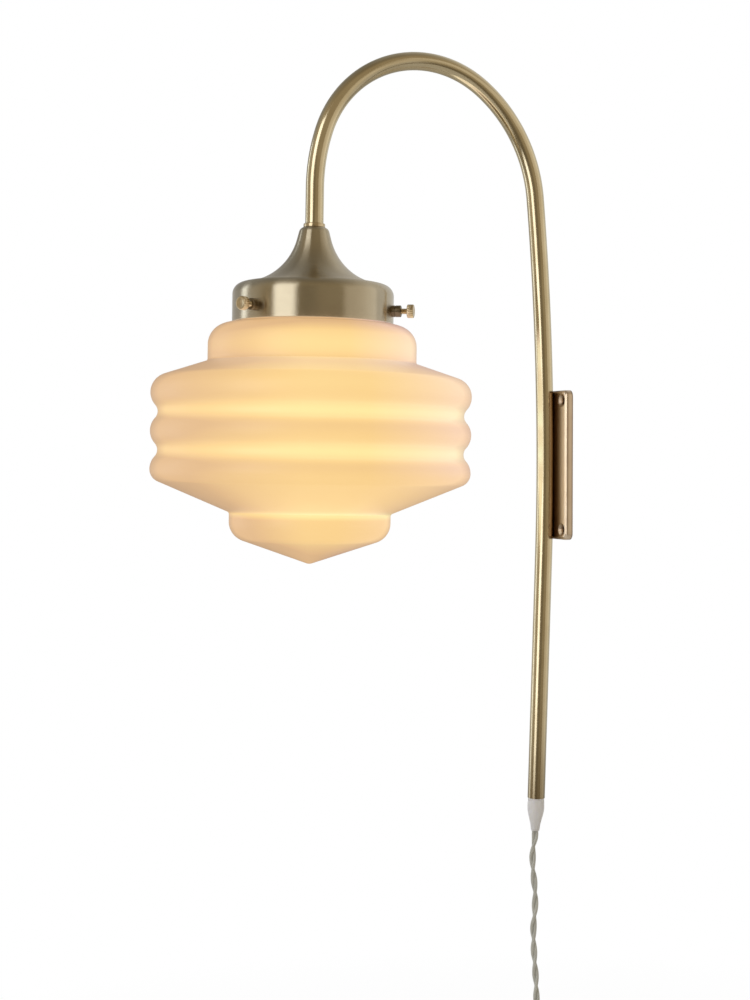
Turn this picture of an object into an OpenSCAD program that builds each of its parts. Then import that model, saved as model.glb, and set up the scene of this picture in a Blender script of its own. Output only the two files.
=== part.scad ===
// Wall lamp: a brass tube bent over in an arch carries a bell and an opal glass shade.
// Millimetres. The origin is the middle of the wall plate's back face, the wall is the
// plane y = 0, the room lies towards -Y and +Z is up. The arm lies in the plane x = 0.

/* [Wall plate] */
// Width of the plate
plate_w = 42; // [38:0.5:60]
// Height of the plate
plate_h = 103; // [60:1:140]
// Thickness of the plate
plate_t = 5.4; // [5:0.2:9]
// Radius of the plate's corners
plate_corner_r = 4.5; // [3:0.5:8]
// Radius of the plate's front edges
plate_edge_r = 2.25; // [0.5:0.25:2.5]
// Distance from the screw holes to the plate's sides
hole_edge_x = 6.2; // [6:0.1:8]
// Distance from the screw holes to the plate's ends
hole_edge_z = 7; // [6:0.1:14]
// Bore of the screw holes
hole_d = 4.5; // [3.5:0.1:5.5]
// Mouth of the countersinks
sink_d = 8.8; // [7:0.1:9.4]
// Depth of the groove in which the tube is brazed
plate_seat = 1; // [0.5:0.1:1.2]

/* [Arm tube] */
// Outer diameter of the tube
tube_d = 12; // [11:0.5:14]
// Wall of the tube
tube_wall = 0.95; // [0.8:0.05:1.2]
// Radius of the slight bow of the leg along the wall
bow_r = 2070; // [1500:10:20000]
// Length of the bow below the middle of the plate
bow_down = 65.5; // [40:0.5:120]
// Length of the leg below the middle of the plate
leg_down = 232; // [180:1:260]
// Length of the leg above the middle of the plate
leg_up = 184; // [150:1:240]
// Radius of the soft bend where the leg leaves the wall
entry_r = 101.4; // [90:0.2:200]
// Angle of the soft bend where the leg leaves the wall
entry_angle = 48.3; // [20:0.1:60]
// Radius of the arch
arch_r = 74.3; // [70:0.1:110]
// Radius of the soft bend above the shade
exit_r = 125.4; // [100:0.2:240]
// Angle of the soft bend above the shade
exit_angle = 17.8; // [5:0.1:25]
// Whole turn of the tube from the plate to the shade
arm_turn = 179; // [176:0.1:182]
// Straight end of the tube above the bell
tube_drop = 26.2; // [12:0.1:60]
// Height of the ring where the tube meets the bell
collar_h = 2.4; // [1.5:0.1:6]
// Wall of the ring where the tube meets the bell
collar_wall = 1.1; // [0.8:0.1:1.3]

/* [Gallery] */
// Outer diameter of the cylindrical shade holder
fitter_d = 105.8; // [104:0.2:112]
// Height of the cylindrical wall
fitter_h = 21.6; // [20:0.2:34]
// Thickness of the spun brass
gallery_wall = 1.2; // [0.8:0.1:1.5]
// Rounding between the wall and the flare
fitter_corner_r = 5.6; // [1.6:0.1:6]
// Slope of the flare where it meets the wall, in degrees
flare_slope = 16.6; // [12:0.2:22]
// Radius of the bell's hollow curve
flare_r = 38.8; // [32:0.2:42]
// Outer diameter of the bell's neck
bell_neck_d = 21.4; // [21:0.2:24]
// Length of the bell's straight neck
neck_cone = 4.2; // [1:0.1:8]
// Rounding of the bell's top edge
bell_dome_r = 4.2; // [2.6:0.1:4.2]

/* [Thumb screws] */
// Number of thumb screws
screw_count = 3; // [3:1:3]
// Angle of the first thumb screw from +X
screw_angle = 57.5; // [0:0.5:119.5]
// Height of the thumb screws above the holder's lower edge
screw_z = 6; // [5.5:0.1:10]
// Diameter of the shank
screw_d = 4; // [3:0.1:4.6]
// Diameter of the head
screw_head_d = 8.8; // [7:0.1:12]
// Thickness of the head
screw_head_t = 4.4; // [3:0.1:6]
// Bare shank between bush and head
screw_reach = 4; // [2:0.1:8]
// Outer diameter of the bush
bush_d = 7.6; // [7:0.1:9]
// Length of the bush outside the wall
bush_l = 5.8; // [4:0.1:8]

/* [Glass shade] */
// Thickness of the glass
glass_t = 3.5; // [2.5:0.1:4.2]
// Gap between the lip and the holder's wall
lip_gap = 2.3; // [1.5:0.1:3]
// How far the lip stands out from the neck
lip_out = 2.7; // [2.3:0.1:4]
// Height of the lip
lip_h = 4.6; // [3.6:0.1:6]
// Diameter of the collar below the holder
shade_collar_d = 136.8; // [130:0.2:150]
// Rounding of the collar's shoulder
shoulder_r = 16.2; // [9:0.2:18]
// Slope of the body's upper side, in degrees
upper_slope = 18.5; // [12:0.5:24]
// Slope of the body's lower side, in degrees
lower_slope = 22.7; // [18:0.1:28]
// Largest diameter of the ribbed body
rib_d = 210; // [190:0.5:240]
// Height from the holder's lower edge down to the first rib
rib_drop = 49; // [46:0.5:60]
// Number of ribs
rib_count = 3; // [2:1:4]
// Distance between ribs
rib_pitch = 25; // [24:0.1:27]
// Depth of the grooves between the ribs
rib_depth = 4.8; // [4.5:0.1:6.5]
// Radius of the ribs
rib_r = 12.4; // [9:0.1:12.4]
// Radius of the lowest rib's underside
rib_end_r = 8.7; // [6:0.1:12]
// Diameter of the step below the body
step_d = 106.2; // [90:0.2:120]
// Height of the step's straight wall
step_h = 4.6; // [4:0.1:14]
// Rounding of the step's lower edge
step_r = 13.2; // [6:0.1:14]
// Slope of the point, in degrees
point_slope = 18.9; // [12:0.1:24]

/* [Lamp holder and bulb] */
// Distance from the bell's top to the lamp holder
holder_drop = 19; // [17:0.5:22]
// Outer diameter of the lamp holder
holder_d = 39; // [37:0.5:40]
// Height of the holder's cap
cap_h = 19; // [18:0.5:22]
// Height of the holder's body
body_h = 36; // [34:0.5:44]
// Wall of the holder
holder_wall = 1.8; // [1.5:0.1:2.2]
// Diameter of the bulb's screw cap
bulb_cap_d = 26; // [24:0.5:27]
// Diameter of the bulb
bulb_d = 60; // [45:1:80]
// Length of the bulb's glass
bulb_l = 82; // [75:1:95]
// Wall of the threaded nipple
nipple_wall = 1.4; // [1:0.1:1.6]
// Length of the nipple inside the tube
nipple_in = 11; // [8:0.5:12]
// Width of the lock nut across its flats
nut_af = 14; // [13:0.5:14.5]
// Thickness of the lock nut
nut_t = 4; // [3:0.5:6]
// Thickness of the washer
washer_t = 1.2; // [1:0.1:2]

/* [Cord] */
// Diameter over the two twisted strands
cord_d = 4.6; // [4:0.1:4.8]
// Length of the gland below the tube
gland_h = 23; // [18:0.5:40]
// Length of the gland's spigot in the tube
gland_in = 10; // [6:0.5:16]
// Cord between the switch and the hank's upper folds
hank_hang = 35; // [32:1:50]
// Length of a run in the hank
hank_run = 82; // [74:1:90]
// Half the width of the innermost loop
hank_in = 16; // [15:0.5:20]
// Step from loop to loop
hank_step = 5.6; // [5.5:0.1:7]
// Step from layer to layer
hank_layer = 5.2; // [5.2:0.1:6]
// How far the tie draws each run in
hank_draw = 6; // [3:0.5:7]
// How far the plug hangs below the end of the hank
plug_hang = 36; // [34:1:44]
// Distance from the hank's last run out to the plug
plug_out = 13; // [12:0.5:20]
// Height of the tie
tie_h = 9; // [6:0.5:14]
// Thickness of the tie
tie_t = 1.4; // [1:0.1:2]

/* [Inline switch and plug] */
// Length of the switch along the cord
switch_l = 56; // [52:1:60]
// Width of the switch
switch_w = 24; // [22:0.5:30]
// Thickness of the switch
switch_t = 20; // [19:0.5:24]
// Wall of the switch
switch_wall = 2; // [1.5:0.1:2.2]
// Length of the rocker
rocker_l = 17; // [14:0.5:20]
// Width of the rocker
rocker_w = 9.6; // [8:0.1:11]
// Tilt of the rocker to each side, in degrees
rocker_tilt = 10; // [6:1:12]
// Length of the plug's body
plug_l = 26; // [22:0.5:32]
// Width of the plug's body
plug_w = 24; // [22:0.5:28]
// Thickness of the plug's body
plug_t = 13; // [11:0.5:13.5]
// Length of the plug's sleeve
sleeve_l = 22; // [20:0.5:26]
// Length of the blades
blade_l = 17; // [15:0.5:18]
// Distance between the blades
blade_span = 12.7; // [11:0.1:13]

/* [Clearances] */
// Gap of a turning or brazed fit
fit = 0.05; // [0.03:0.01:0.08]
// Gap between pieces that lie loosely together
loose = 0.3; // [0.2:0.05:0.4]

/* [Hidden] */
$fn = 64;

brass = "#b59a63";
rosy_brass = "#c29f74";
satin_brass = "#a8956a";
opal = "#fbe3ae";
textile = "#b9b49f";
clear_sleeve = "#d8d3cf";
dark_plastic = "#3a322c";
porcelain = "#e9e4d8";
steel = "#9fa1a3";

// Angle between the points that stand for a round stretch of an outline
arc_step = 12;

// Arm: the angles of the bends from the middle of the plate to the shade.
tube_r = tube_d / 2;
bore_r = tube_r - tube_wall;
arm_y = -(plate_t + tube_r - plate_seat);
hole_x = plate_w / 2 - hole_edge_x;
hole_z = plate_h / 2 - hole_edge_z;
bow_up_a = leg_up / bow_r * 180 / PI;
bow_down_a = bow_down / bow_r * 180 / PI;
arch_angle = arm_turn - bow_up_a - entry_angle - exit_angle;

// A pose is [y, z, heading]. Heading 90 is straight up, and a bend turns away from the wall.
function after_bend(p, b) = [p[0] + b[0] * (cos(p[2] + 90) + cos(p[2] - 90 + b[1])),
    p[1] + b[0] * (sin(p[2] + 90) + sin(p[2] - 90 + b[1])), p[2] + b[1]];
pose_0 = [arm_y, 0, 90];
pose_1 = after_bend(pose_0, [bow_r, bow_up_a]);
pose_2 = after_bend(pose_1, [entry_r, entry_angle]);
pose_3 = after_bend(pose_2, [arch_r, arch_angle]);
pose_4 = after_bend(pose_3, [exit_r, exit_angle]);
// How far the thinner stretches of the tube reach into their neighbours, and how much thinner they are
joint_reach = 1;
joint_step = 0.05;
head_y = pose_4[0] + tube_drop * cos(pose_4[2]);
head_z = pose_4[1] + tube_drop * sin(pose_4[2]);
head_lean = pose_4[2] - 270;
// The leg's bow starts below the plate, and the leg is straight from there to its foot.
bow_pose = [arm_y - bow_r * (1 - cos(bow_down_a)), -bow_r * sin(bow_down_a), 90 - bow_down_a];
foot_run = leg_down - bow_down;
foot_y = bow_pose[0] - foot_run * sin(bow_down_a);
foot_z = bow_pose[1] - foot_run * cos(bow_down_a);
foot_pose = [foot_y, foot_z, 90 - bow_down_a];

// Outlines are chains of round stretches [centre r, centre z, radius, first normal, last normal].
// The radius is negative where the outline is hollow, so one offset makes a wall's other face.
function stretch_points(s, off) =
    let (n = ceil(abs(s[4] - s[3]) / arc_step))
    [for (i = [0:n]) let (a = s[3] + (s[4] - s[3]) * i / n)
        [s[0] + (s[2] - off) * cos(a), s[1] + (s[2] - off) * sin(a)]];
function chain_points(chain, off) = [for (s = chain) each stretch_points(s, off)];
function reversed(list) = [for (i = [len(list) - 1:-1:0]) list[i]];

// Bell and shade holder, with z = 0 at the holder's lower edge.
fitter_r = fitter_d / 2;
flare_top_a = 14;
flare_n = 90 - flare_slope;
flare_x = bell_neck_d / 2 + neck_cone * sin(flare_top_a) + flare_r * cos(flare_top_a);
flare_foot_r = flare_x - flare_r * cos(flare_n);
flare_foot_z = fitter_h + (fitter_r - flare_foot_r) * tan(flare_slope);
flare_z = flare_foot_z + flare_r * sin(flare_n);
corner_z = fitter_h - fitter_corner_r / sin(flare_n) + fitter_corner_r / tan(flare_n);
dome_x = bell_neck_d / 2 - bell_dome_r * cos(flare_top_a);
dome_z = flare_z - (flare_r + bell_dome_r) * sin(flare_top_a) + neck_cone * cos(flare_top_a);
gallery_h = dome_z + bell_dome_r;
bell_chain = [[fitter_r - fitter_corner_r, corner_z, fitter_corner_r, 0, flare_n],
    [flare_x, flare_z, -flare_r, flare_n, flare_top_a],
    [dome_x, dome_z, bell_dome_r, flare_top_a, 90]];

// Nipple, nut and washer
nipple_r = bore_r - fit;
nipple_bore_r = nipple_r - nipple_wall;
washer_r = dome_x - loose;
nut_z = -gallery_wall - washer_t;

// Thumb screws
bush_in = 1;
bush_rivet_r = screw_d / 2 + 0.9;
bush_out_r = fitter_r + bush_l;
screw_head_r0 = bush_out_r + screw_reach;

// Glass outline, with z = 0 at the holder's lower edge
lip_r = fitter_r - gallery_wall - lip_gap;
neck_r = lip_r - lip_out;
lip_edge = 1.1;
lip_low = screw_z + screw_d / 2 + loose;
lip_top = lip_low + lip_h;
neck_fillet = 4;
crease_r = 2;
shade_top = -0.8;
shade_collar_r = shade_collar_d / 2;
shoulder_fit_r = min(shoulder_r, shade_collar_r - neck_r - neck_fillet - 0.4);
rib_max_r = rib_d / 2;
rib_half = rib_pitch / 2;
rib_sum = (rib_depth * rib_depth + rib_half * rib_half) / (2 * rib_depth);
groove_r = rib_sum - rib_r;
rib_turn = asin(rib_half / rib_sum);
rib_low_z = -rib_drop - (rib_count - 1) * rib_pitch;
upper_n = 90 - upper_slope;
lower_n = lower_slope - 90;
point_n = point_slope - 90;
// The cones run tangent to the round stretches at both of their ends.
crease_z = -rib_drop + (rib_r + crease_r - (shade_collar_r + crease_r - rib_max_r + rib_r) * cos(upper_n))
    / sin(upper_n);
step_run = step_d / 2 + crease_r - rib_max_r + rib_end_r;
step_crease_z = rib_low_z + (rib_end_r + crease_r - step_run * cos(lower_n)) / sin(lower_n);
step_low_z = step_crease_z - step_h;
point_r = 6;
point_z = step_low_z + ((step_d / 2 - step_r) * cos(point_n) + step_r - point_r) / sin(point_n);
lip_chain = [[lip_r - lip_edge, lip_top - lip_edge, lip_edge, 90, 0],
    [lip_r - lip_edge, lip_low + lip_edge, lip_edge, 0, -90],
    [neck_r + lip_edge, lip_low - lip_edge, -lip_edge, -90, 0]];
rib_chain = [for (k = [0:rib_count - 1]) each concat(
    [[rib_max_r - rib_r, -rib_drop - k * rib_pitch, rib_r,
        k == 0 ? upper_n : rib_turn, k == rib_count - 1 ? 0 : -rib_turn]],
    k == rib_count - 1 ? [] :
    [[rib_max_r - rib_depth + groove_r, -rib_drop - (k + 0.5) * rib_pitch, -groove_r,
        -rib_turn, rib_turn]])];
glass_chain = concat([[neck_r + neck_fillet, shade_top + neck_fillet, -neck_fillet, 0, 90],
    [shade_collar_r - shoulder_fit_r, shade_top - shoulder_fit_r, shoulder_fit_r, 90, 0],
    [shade_collar_r + crease_r, crease_z, -crease_r, 0, upper_n]],
    rib_chain,
    [[rib_max_r - rib_end_r, rib_low_z, rib_end_r, 0, lower_n],
    [step_d / 2 + crease_r, step_crease_z, -crease_r, lower_n, 0],
    [step_d / 2 - step_r, step_low_z, step_r, 0, point_n],
    [0, point_z, point_r, point_n, -90]]);

// Lamp holder and bulb, with z = 0 at the bell's top face
cap_top = -holder_drop;
cap_boss_h = 8;
cap_boss_r = nipple_r + 3.5;
cap_low = cap_top - cap_h;
body_low = cap_low - body_h;
holder_r = holder_d / 2;
insert_t = 9.5;
insert_low = cap_low - loose - insert_t;
shell_t = 0.5;
shell_r = bulb_cap_d / 2 + loose;
shell_low = body_low + 2;
contact_h = 3.5;
tip_h = 1.4;
tip_top = insert_low - contact_h - loose;
bulb_cap_top = tip_top - tip_h;
bulb_neck_z = shell_low - loose;
terminal_x = 9;
terminal_head_r = 2.6;
terminal_head_h = 2;
lead_end = cap_low + loose;

// Cord route. The points hang by hand from the gland down to the switch.
cord_r = cord_d / 2;
gland_bore_r = cord_r + fit;
cord_y = -16;
switch_top = -384;
switch_low = switch_top - switch_l;
entry_in = 3;
cord_exit = [0, foot_y - gland_h * sin(bow_down_a), foot_z - gland_h * cos(bow_down_a)];
cord_exit_2 = [0, cord_exit[1] - cord_d * sin(bow_down_a), cord_exit[2] - cord_d * cos(bow_down_a)];
hanging_route = concat([cord_exit, cord_exit_2],
    [[0, -19.1, -268], [0, -19.3, -279], [0, -18.2, -290], [0, -17.3, -301], [0, -17.6, -312],
    [0, -18.6, -323], [0, -18.4, -334], [0, -17.8, -345], [0, -16.9, -356], [0, -16.3, -367]],
    [[0, cord_y, switch_top + cord_d], [0, cord_y, switch_top - entry_in]]);

// Hank: the cord comes down its middle, turns up and winds in and out again in two layers.
hank_top = switch_low - hank_hang;
hank_first = 0.5;
hank_mid = 2.625;
hank_last = 5;
loop_rings = 24;
function ramp(t, a, b) = let (f = min(1, max(0, (t - a) / (b - a)))) f * f * (3 - 2 * f);
function hank_width(t) = hank_in + hank_step * abs(t - hank_mid);
function hank_depth(t) = cord_y - hank_layer * (ramp(t, 0.5, 0.75) + ramp(t, 2.5, 2.75));
// One loop: down the left run, round the lower fold, up the right run, round the upper fold.
function hank_point(t) =
    let (quarter = floor(4 * (t - floor(t))), f = 4 * (t - floor(t)) - quarter, w = hank_width(t),
        drawn = w - hank_draw * pow(sin(180 * f), 2))
    quarter == 0 ? [-drawn, hank_depth(t), hank_top - hank_run * f] :
    quarter == 1 ? [w * cos(180 + 180 * f), hank_depth(t), hank_top - hank_run + w * sin(180 + 180 * f)] :
    quarter == 2 ? [drawn, hank_depth(t), hank_top - hank_run * (1 - f)] :
    [w * cos(180 * f), hank_depth(t), hank_top + w * sin(180 * f)];
function hank_lead(rings) =
    let (w = hank_width(hank_first), foot = hank_top - hank_run, top = switch_low + entry_in)
    concat([for (i = [0:rings / 2 - 1]) [0, cord_y, top + (foot - top) * i / (rings / 2)]],
        [for (i = [0:rings / 2 - 1]) let (a = 180 + 360 * i / rings)
            [w / 2 + w / 2 * cos(a), cord_y, foot + w / 2 * sin(a)]]);
function hank_route(rings) = concat(hank_lead(rings),
    [for (i = [0:round((hank_last - hank_first) * rings)]) hank_point(hank_first + i / rings)], [hank_end]);
hank_last_point = hank_point(hank_last);
hank_end = hank_last_point - [0, 0, 1];

// Tail: from the hank's last loop out to the plug that hangs beside it
plug_x = hank_end[0] - plug_out;
plug_top = hank_end[2] - plug_hang;
tail_bend = [[0.13, 0.3], [0.38, 0.46], [0.7, 0.61], [0.92, 0.75]];
tail_route = concat([hank_end, hank_end - [0, 0, cord_d]],
    [for (b = tail_bend) hank_end - [b[0] * plug_out, 0, b[1] * plug_hang]],
    [[plug_x, hank_end[1], plug_top + cord_d], [plug_x, hank_end[1], plug_top]]);

// Switch, in its own frame: z along the cord, the front towards -Y
switch_round = 5;
rocker_pivot = -switch_t / 2 + switch_wall;
rocker_rise = 3.6;
rocker_dip = 2.2;
rocker_pin_r = 1.2;
rocker_pin_l = 1.6;
ear_t = 2.4;
ear_h = 5;
window_l = rocker_l + 1.8;
window_w = rocker_w + 2 * loose;
switch_screw_x = switch_w / 2 - switch_wall - 2.2;
switch_screw_in = 10;
switch_screw_z = switch_l / 2 - switch_screw_in;
boss_r = 2.4;
pilot_r = 1.2;
contact_t = 0.8;
strip_w = 5;
strip_l = 12;
strip_h = 4;
strip_out = 9;
blade_w = 6.35;
blade_t = 1.5;
blade_root = 8;

// Places a piece on the tube's path.
module at_pose(p) {
    translate([0, p[0], p[1]]) rotate([p[2] - 90, 0, 0]) children();
}

// Places a piece of the lamp head: z = 0 at the bell's top face, square to the tube's end.
module at_head() {
    translate([0, head_y, head_z]) rotate([head_lean, 0, 0]) children();
}

// Places a piece of the lamp head that is measured from the holder's lower edge.
module at_fitter() {
    at_head() translate([0, 0, -gallery_h]) children();
}

// Places a piece at the tube's lower end, z = 0 at its end face.
module at_foot() {
    translate([0, foot_y, foot_z]) rotate([-bow_down_a, 0, 0]) children();
}

// Places a piece of the switch, z = 0 at its middle.
module at_switch() {
    translate([0, cord_y, switch_top - switch_l / 2]) children();
}

// Places a piece of the plug, z = 0 at the top of its sleeve.
module at_plug() {
    translate([plug_x, hank_end[1], plug_top]) children();
}

// Carries a section round a bend that starts at the origin, heads up and turns to -Y.
module bend(r, a) {
    translate([0, -r, 0]) rotate(120, [1, 1, 1]) rotate_extrude(angle = a) translate([r, 0]) children();
}

// A bend that reaches a little way into the pieces before and after it.
module reaching_bend(r, a) {
    e = joint_reach / r * 180 / PI;
    translate([0, -r, 0]) rotate(120, [1, 1, 1]) rotate([0, 0, -e])
        rotate_extrude(angle = a + 2 * e, $fn = max(64, ceil(r))) translate([r, 0]) children();
}

// Carries two sections along the whole arm: the straight leg and the soft bends take the first one,
// and the bow, the arch and the end between them take the second, a hair thinner, and reach into both.
module along_arm() {
    at_pose(foot_pose) linear_extrude(foot_run) children(0);
    at_pose(bow_pose) reaching_bend(bow_r, bow_down_a + bow_up_a) children(1);
    at_pose(pose_1) bend(entry_r, entry_angle) children(0);
    at_pose(pose_2) reaching_bend(arch_r, arch_angle) children(1);
    at_pose(pose_3) bend(exit_r, exit_angle) children(0);
    at_pose(pose_4) translate([0, 0, -joint_reach]) linear_extrude(tube_drop + joint_reach) children(1);
}

module ring_2d(outer, inner) {
    difference() {
        circle(r = outer);
        circle(r = inner);
    }
}

// Round tube between two heights.
module pipe(outer, inner, low, high) {
    translate([0, 0, low]) linear_extrude(high - low) ring_2d(outer, inner);
}

function unit(v) = v / norm(v);

// Sweeps a round cord along points as one closed tube. The side vector is never along the route.
module cord_tube(route, r, sides, side) {
    n = len(route);
    rings = [for (i = [0:n - 1])
        let (t = unit(route[min(n - 1, i + 1)] - route[max(0, i - 1)]),
            u = unit(cross(side, t)), v = cross(t, u))
        for (j = [0:sides - 1]) route[i] + r * (u * cos(360 * j / sides) + v * sin(360 * j / sides))];
    walls = [for (i = [0:n - 2]) for (j = [0:sides - 1])
        let (a = i * sides + j, b = i * sides + (j + 1) % sides)
        each [[a, a + sides, b], [b, a + sides, b + sides]]];
    last = (n - 1) * sides;
    first_cap = [for (j = [1:sides - 2]) [0, j, j + 1]];
    last_cap = [for (j = [1:sides - 2]) [last, last + j + 1, last + j]];
    polyhedron(rings, concat(walls, first_cap, last_cap));
}

module plate_corner(x, z) {
    translate([x, 0, z]) rotate([90, 0, 0]) rotate_extrude($fn = 32)
        polygon(concat([[0, 0], [plate_corner_r, 0]],
            stretch_points([plate_corner_r - plate_edge_r, plate_t - plate_edge_r, plate_edge_r, 0, 90], 0),
            [[0, plate_t]]));
}

module wall_plate() {
    corner_x = plate_w / 2 - plate_corner_r;
    corner_z = plate_h / 2 - plate_corner_r;
    sink_h = (sink_d - hole_d) / 2;
    color(rosy_brass) difference() {
        hull() for (x = [-corner_x, corner_x]) for (z = [-corner_z, corner_z]) plate_corner(x, z);
        translate([0, arm_y, 0]) cylinder(r = tube_r + fit, h = plate_h + 2, center = true);
        for (x = [-hole_x, hole_x]) for (z = [-hole_z, hole_z])
            translate([x, 0, z]) rotate([90, 0, 0]) {
                translate([0, 0, -1]) cylinder(d = hole_d, h = plate_t + 2);
                translate([0, 0, plate_t - sink_h]) cylinder(r1 = hole_d / 2, r2 = sink_d / 2, h = sink_h);
                translate([0, 0, plate_t]) cylinder(d = sink_d, h = 1);
            }
    }
}

module arm_tube() {
    color(brass) along_arm() {
        ring_2d(tube_r, bore_r);
        ring_2d(tube_r - joint_step, bore_r + joint_step);
    }
}

module neck_collar() {
    chamfer = 0.5;
    color(brass) at_head() rotate_extrude() polygon([[tube_r + fit, 0], [tube_r + collar_wall, 0],
        [tube_r + collar_wall, collar_h - chamfer], [tube_r + collar_wall - chamfer, collar_h],
        [tube_r + fit, collar_h]]);
}

// Runs a cutter or a piece through the holder's wall at each thumb screw.
module at_screw(k) {
    at_fitter() rotate([0, 0, screw_angle + 360 * k / screw_count]) translate([0, 0, screw_z])
        rotate([0, 90, 0]) children();
}

module shade_gallery() {
    color(satin_brass) difference() {
        at_fitter() rotate_extrude() polygon(concat([[fitter_r, 0]], chain_points(bell_chain, 0),
            [[nipple_r + fit, gallery_h], [nipple_r + fit, gallery_h - gallery_wall]],
            reversed(chain_points(bell_chain, gallery_wall)), [[fitter_r - gallery_wall, 0]]));
        for (k = [0:screw_count - 1]) at_screw(k)
            translate([0, 0, fitter_r - gallery_wall - 3])
                cylinder(r = bush_rivet_r + fit, h = gallery_wall + 6);
    }
}

// Bush: a turned collar outside the wall, and a spigot through it that is riveted over inside.
module gallery_bushes() {
    // The bush's foot is hollowed to the round of the wall.
    color(brass) for (k = [0:screw_count - 1]) difference() {
        at_screw(k) pipe_bush();
        at_fitter() cylinder(r = fitter_r + fit, h = 2 * (screw_z + bush_d), center = true);
    }
    color(brass) for (k = [0:screw_count - 1]) at_screw(k)
        pipe(bush_rivet_r, screw_d / 2 + fit, fitter_r - gallery_wall - bush_in, fitter_r + 1);
}

module pipe_bush() {
    edge = 0.5;
    rotate_extrude() polygon([[screw_d / 2 + fit, fitter_r - 2], [bush_d / 2, fitter_r - 2],
        [bush_d / 2, bush_out_r - edge], [bush_d / 2 - edge, bush_out_r], [screw_d / 2 + fit, bush_out_r]]);
}

// Thumb screw: the tip stands under the lip, just off the neck; the head is a turned knob.
module thumb_screw(k) {
    edge = 0.6;
    neck = 1;
    color(brass) at_screw(k) rotate_extrude() polygon([
        [0, neck_r + loose], [screw_d / 2 - edge, neck_r + loose],
        [screw_d / 2, neck_r + loose + edge], [screw_d / 2, screw_head_r0],
        [screw_head_d / 2 - neck, screw_head_r0], [screw_head_d / 2, screw_head_r0 + edge],
        [screw_head_d / 2, screw_head_r0 + screw_head_t - neck],
        [screw_head_d / 2 - neck, screw_head_r0 + screw_head_t - 0.2],
        [0, screw_head_r0 + screw_head_t]]);
}

module thumb_screw_1() {
    thumb_screw(0);
}

module thumb_screw_2() {
    thumb_screw(1);
}

module thumb_screw_3() {
    thumb_screw(2);
}

module glass_shade() {
    color(opal) at_fitter() rotate_extrude() polygon(concat(
        chain_points(lip_chain, 0), chain_points(glass_chain, 0),
        reversed(chain_points(glass_chain, glass_t)), [[neck_r - glass_t, lip_top]]));
}

module threaded_nipple() {
    color(steel) at_head() pipe(nipple_r, nipple_bore_r, cap_top - cap_boss_h, nipple_in);
}

module nipple_washer() {
    color(steel) at_head() pipe(washer_r, nipple_r + fit, nut_z, -gallery_wall);
}

module lock_nut() {
    color(steel) at_head() translate([0, 0, nut_z - nut_t]) difference() {
        cylinder(d = nut_af / cos(30), h = nut_t, $fn = 6);
        translate([0, 0, -1]) cylinder(r = nipple_r + fit, h = nut_t + 2);
    }
}

// Cap of the lamp holder: a dome with a boss that is screwed on the nipple.
module holder_cap() {
    dome_r = holder_r - cap_boss_r;
    dome_top = cap_top - cap_boss_h / 2;
    dome = [[holder_r - dome_r, dome_top - dome_r, dome_r, 90, 0]];
    color(dark_plastic) at_head() rotate_extrude() polygon(concat(
        [[nipple_r + fit, cap_top], [cap_boss_r, cap_top]],
        chain_points(dome, 0), [[holder_r, cap_low], [holder_r - holder_wall, cap_low]],
        reversed(chain_points(dome, holder_wall)),
        [[cap_boss_r, cap_top - cap_boss_h], [nipple_r + fit, cap_top - cap_boss_h]]));
}

module holder_body() {
    lip = 1.2;
    color(dark_plastic) at_head() rotate_extrude() polygon([[holder_r, cap_low], [holder_r, body_low + lip],
        [holder_r - lip, body_low], [holder_r - holder_wall - lip, body_low],
        [holder_r - holder_wall, body_low + 2 * lip], [holder_r - holder_wall, insert_low - loose],
        [holder_r - holder_wall - lip, insert_low - loose], [holder_r - holder_wall - lip, insert_low],
        [holder_r - holder_wall, insert_low], [holder_r - holder_wall, cap_low]]);
}

module at_terminals() {
    at_head() for (x = [-terminal_x, terminal_x]) translate([x, 0, 0]) children();
}

module holder_insert() {
    screw_hole_r = 1.3;
    color(porcelain) difference() {
        at_head() translate([0, 0, insert_low]) cylinder(r = holder_r - holder_wall - fit, h = insert_t);
        at_terminals() translate([0, 0, insert_low - 1]) cylinder(r = screw_hole_r + fit, h = insert_t + 2);
    }
}

module terminal_screws() {
    shank_r = 1.3;
    slot_w = 0.8;
    color(brass) at_terminals() difference() {
        union() {
            translate([0, 0, insert_low + 2]) cylinder(r = shank_r, h = insert_t - 2);
            translate([0, 0, insert_low + insert_t]) cylinder(r = terminal_head_r, h = terminal_head_h);
        }
        translate([-terminal_head_r - 1, -slot_w / 2, insert_low + insert_t + terminal_head_h / 2])
            cube([2 * terminal_head_r + 2, slot_w, terminal_head_h]);
    }
}

module holder_shell() {
    color(brass) at_head() pipe(shell_r + shell_t, shell_r, shell_low, insert_low);
}

module holder_contact() {
    color(brass) at_head() translate([0, 0, insert_low - contact_h]) rotate_extrude()
        polygon([[0, 0], [2.4, 0], [3, 0.6], [3, 1.4], [1.6, 1.4], [1.6, contact_h], [0, contact_h]]);
}

// Bulb: a pear-shaped glass, tangent to a ball at its lower end.
module bulb_globe() {
    neck = bulb_cap_d / 2 - 1;
    ball_r = bulb_d / 2;
    ball_z = bulb_neck_z - bulb_l + ball_r;
    blend_a = 40;
    color(opal) at_head() rotate_extrude() polygon(concat([[0, bulb_neck_z], [neck, bulb_neck_z],
        [neck + 0.025 * bulb_d, bulb_neck_z - 0.1 * bulb_l],
        [neck + 0.065 * bulb_d, bulb_neck_z - 0.22 * bulb_l]],
        stretch_points([0, ball_z, ball_r, blend_a, -90], 0)));
}

module bulb_cap() {
    cap_r = bulb_cap_d / 2;
    taper = 5;
    color(steel) at_head() rotate_extrude() polygon([[0, bulb_neck_z], [cap_r, bulb_neck_z],
        [cap_r, bulb_cap_top - taper + 2], [cap_r - taper, bulb_cap_top], [0, bulb_cap_top]]);
}

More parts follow.
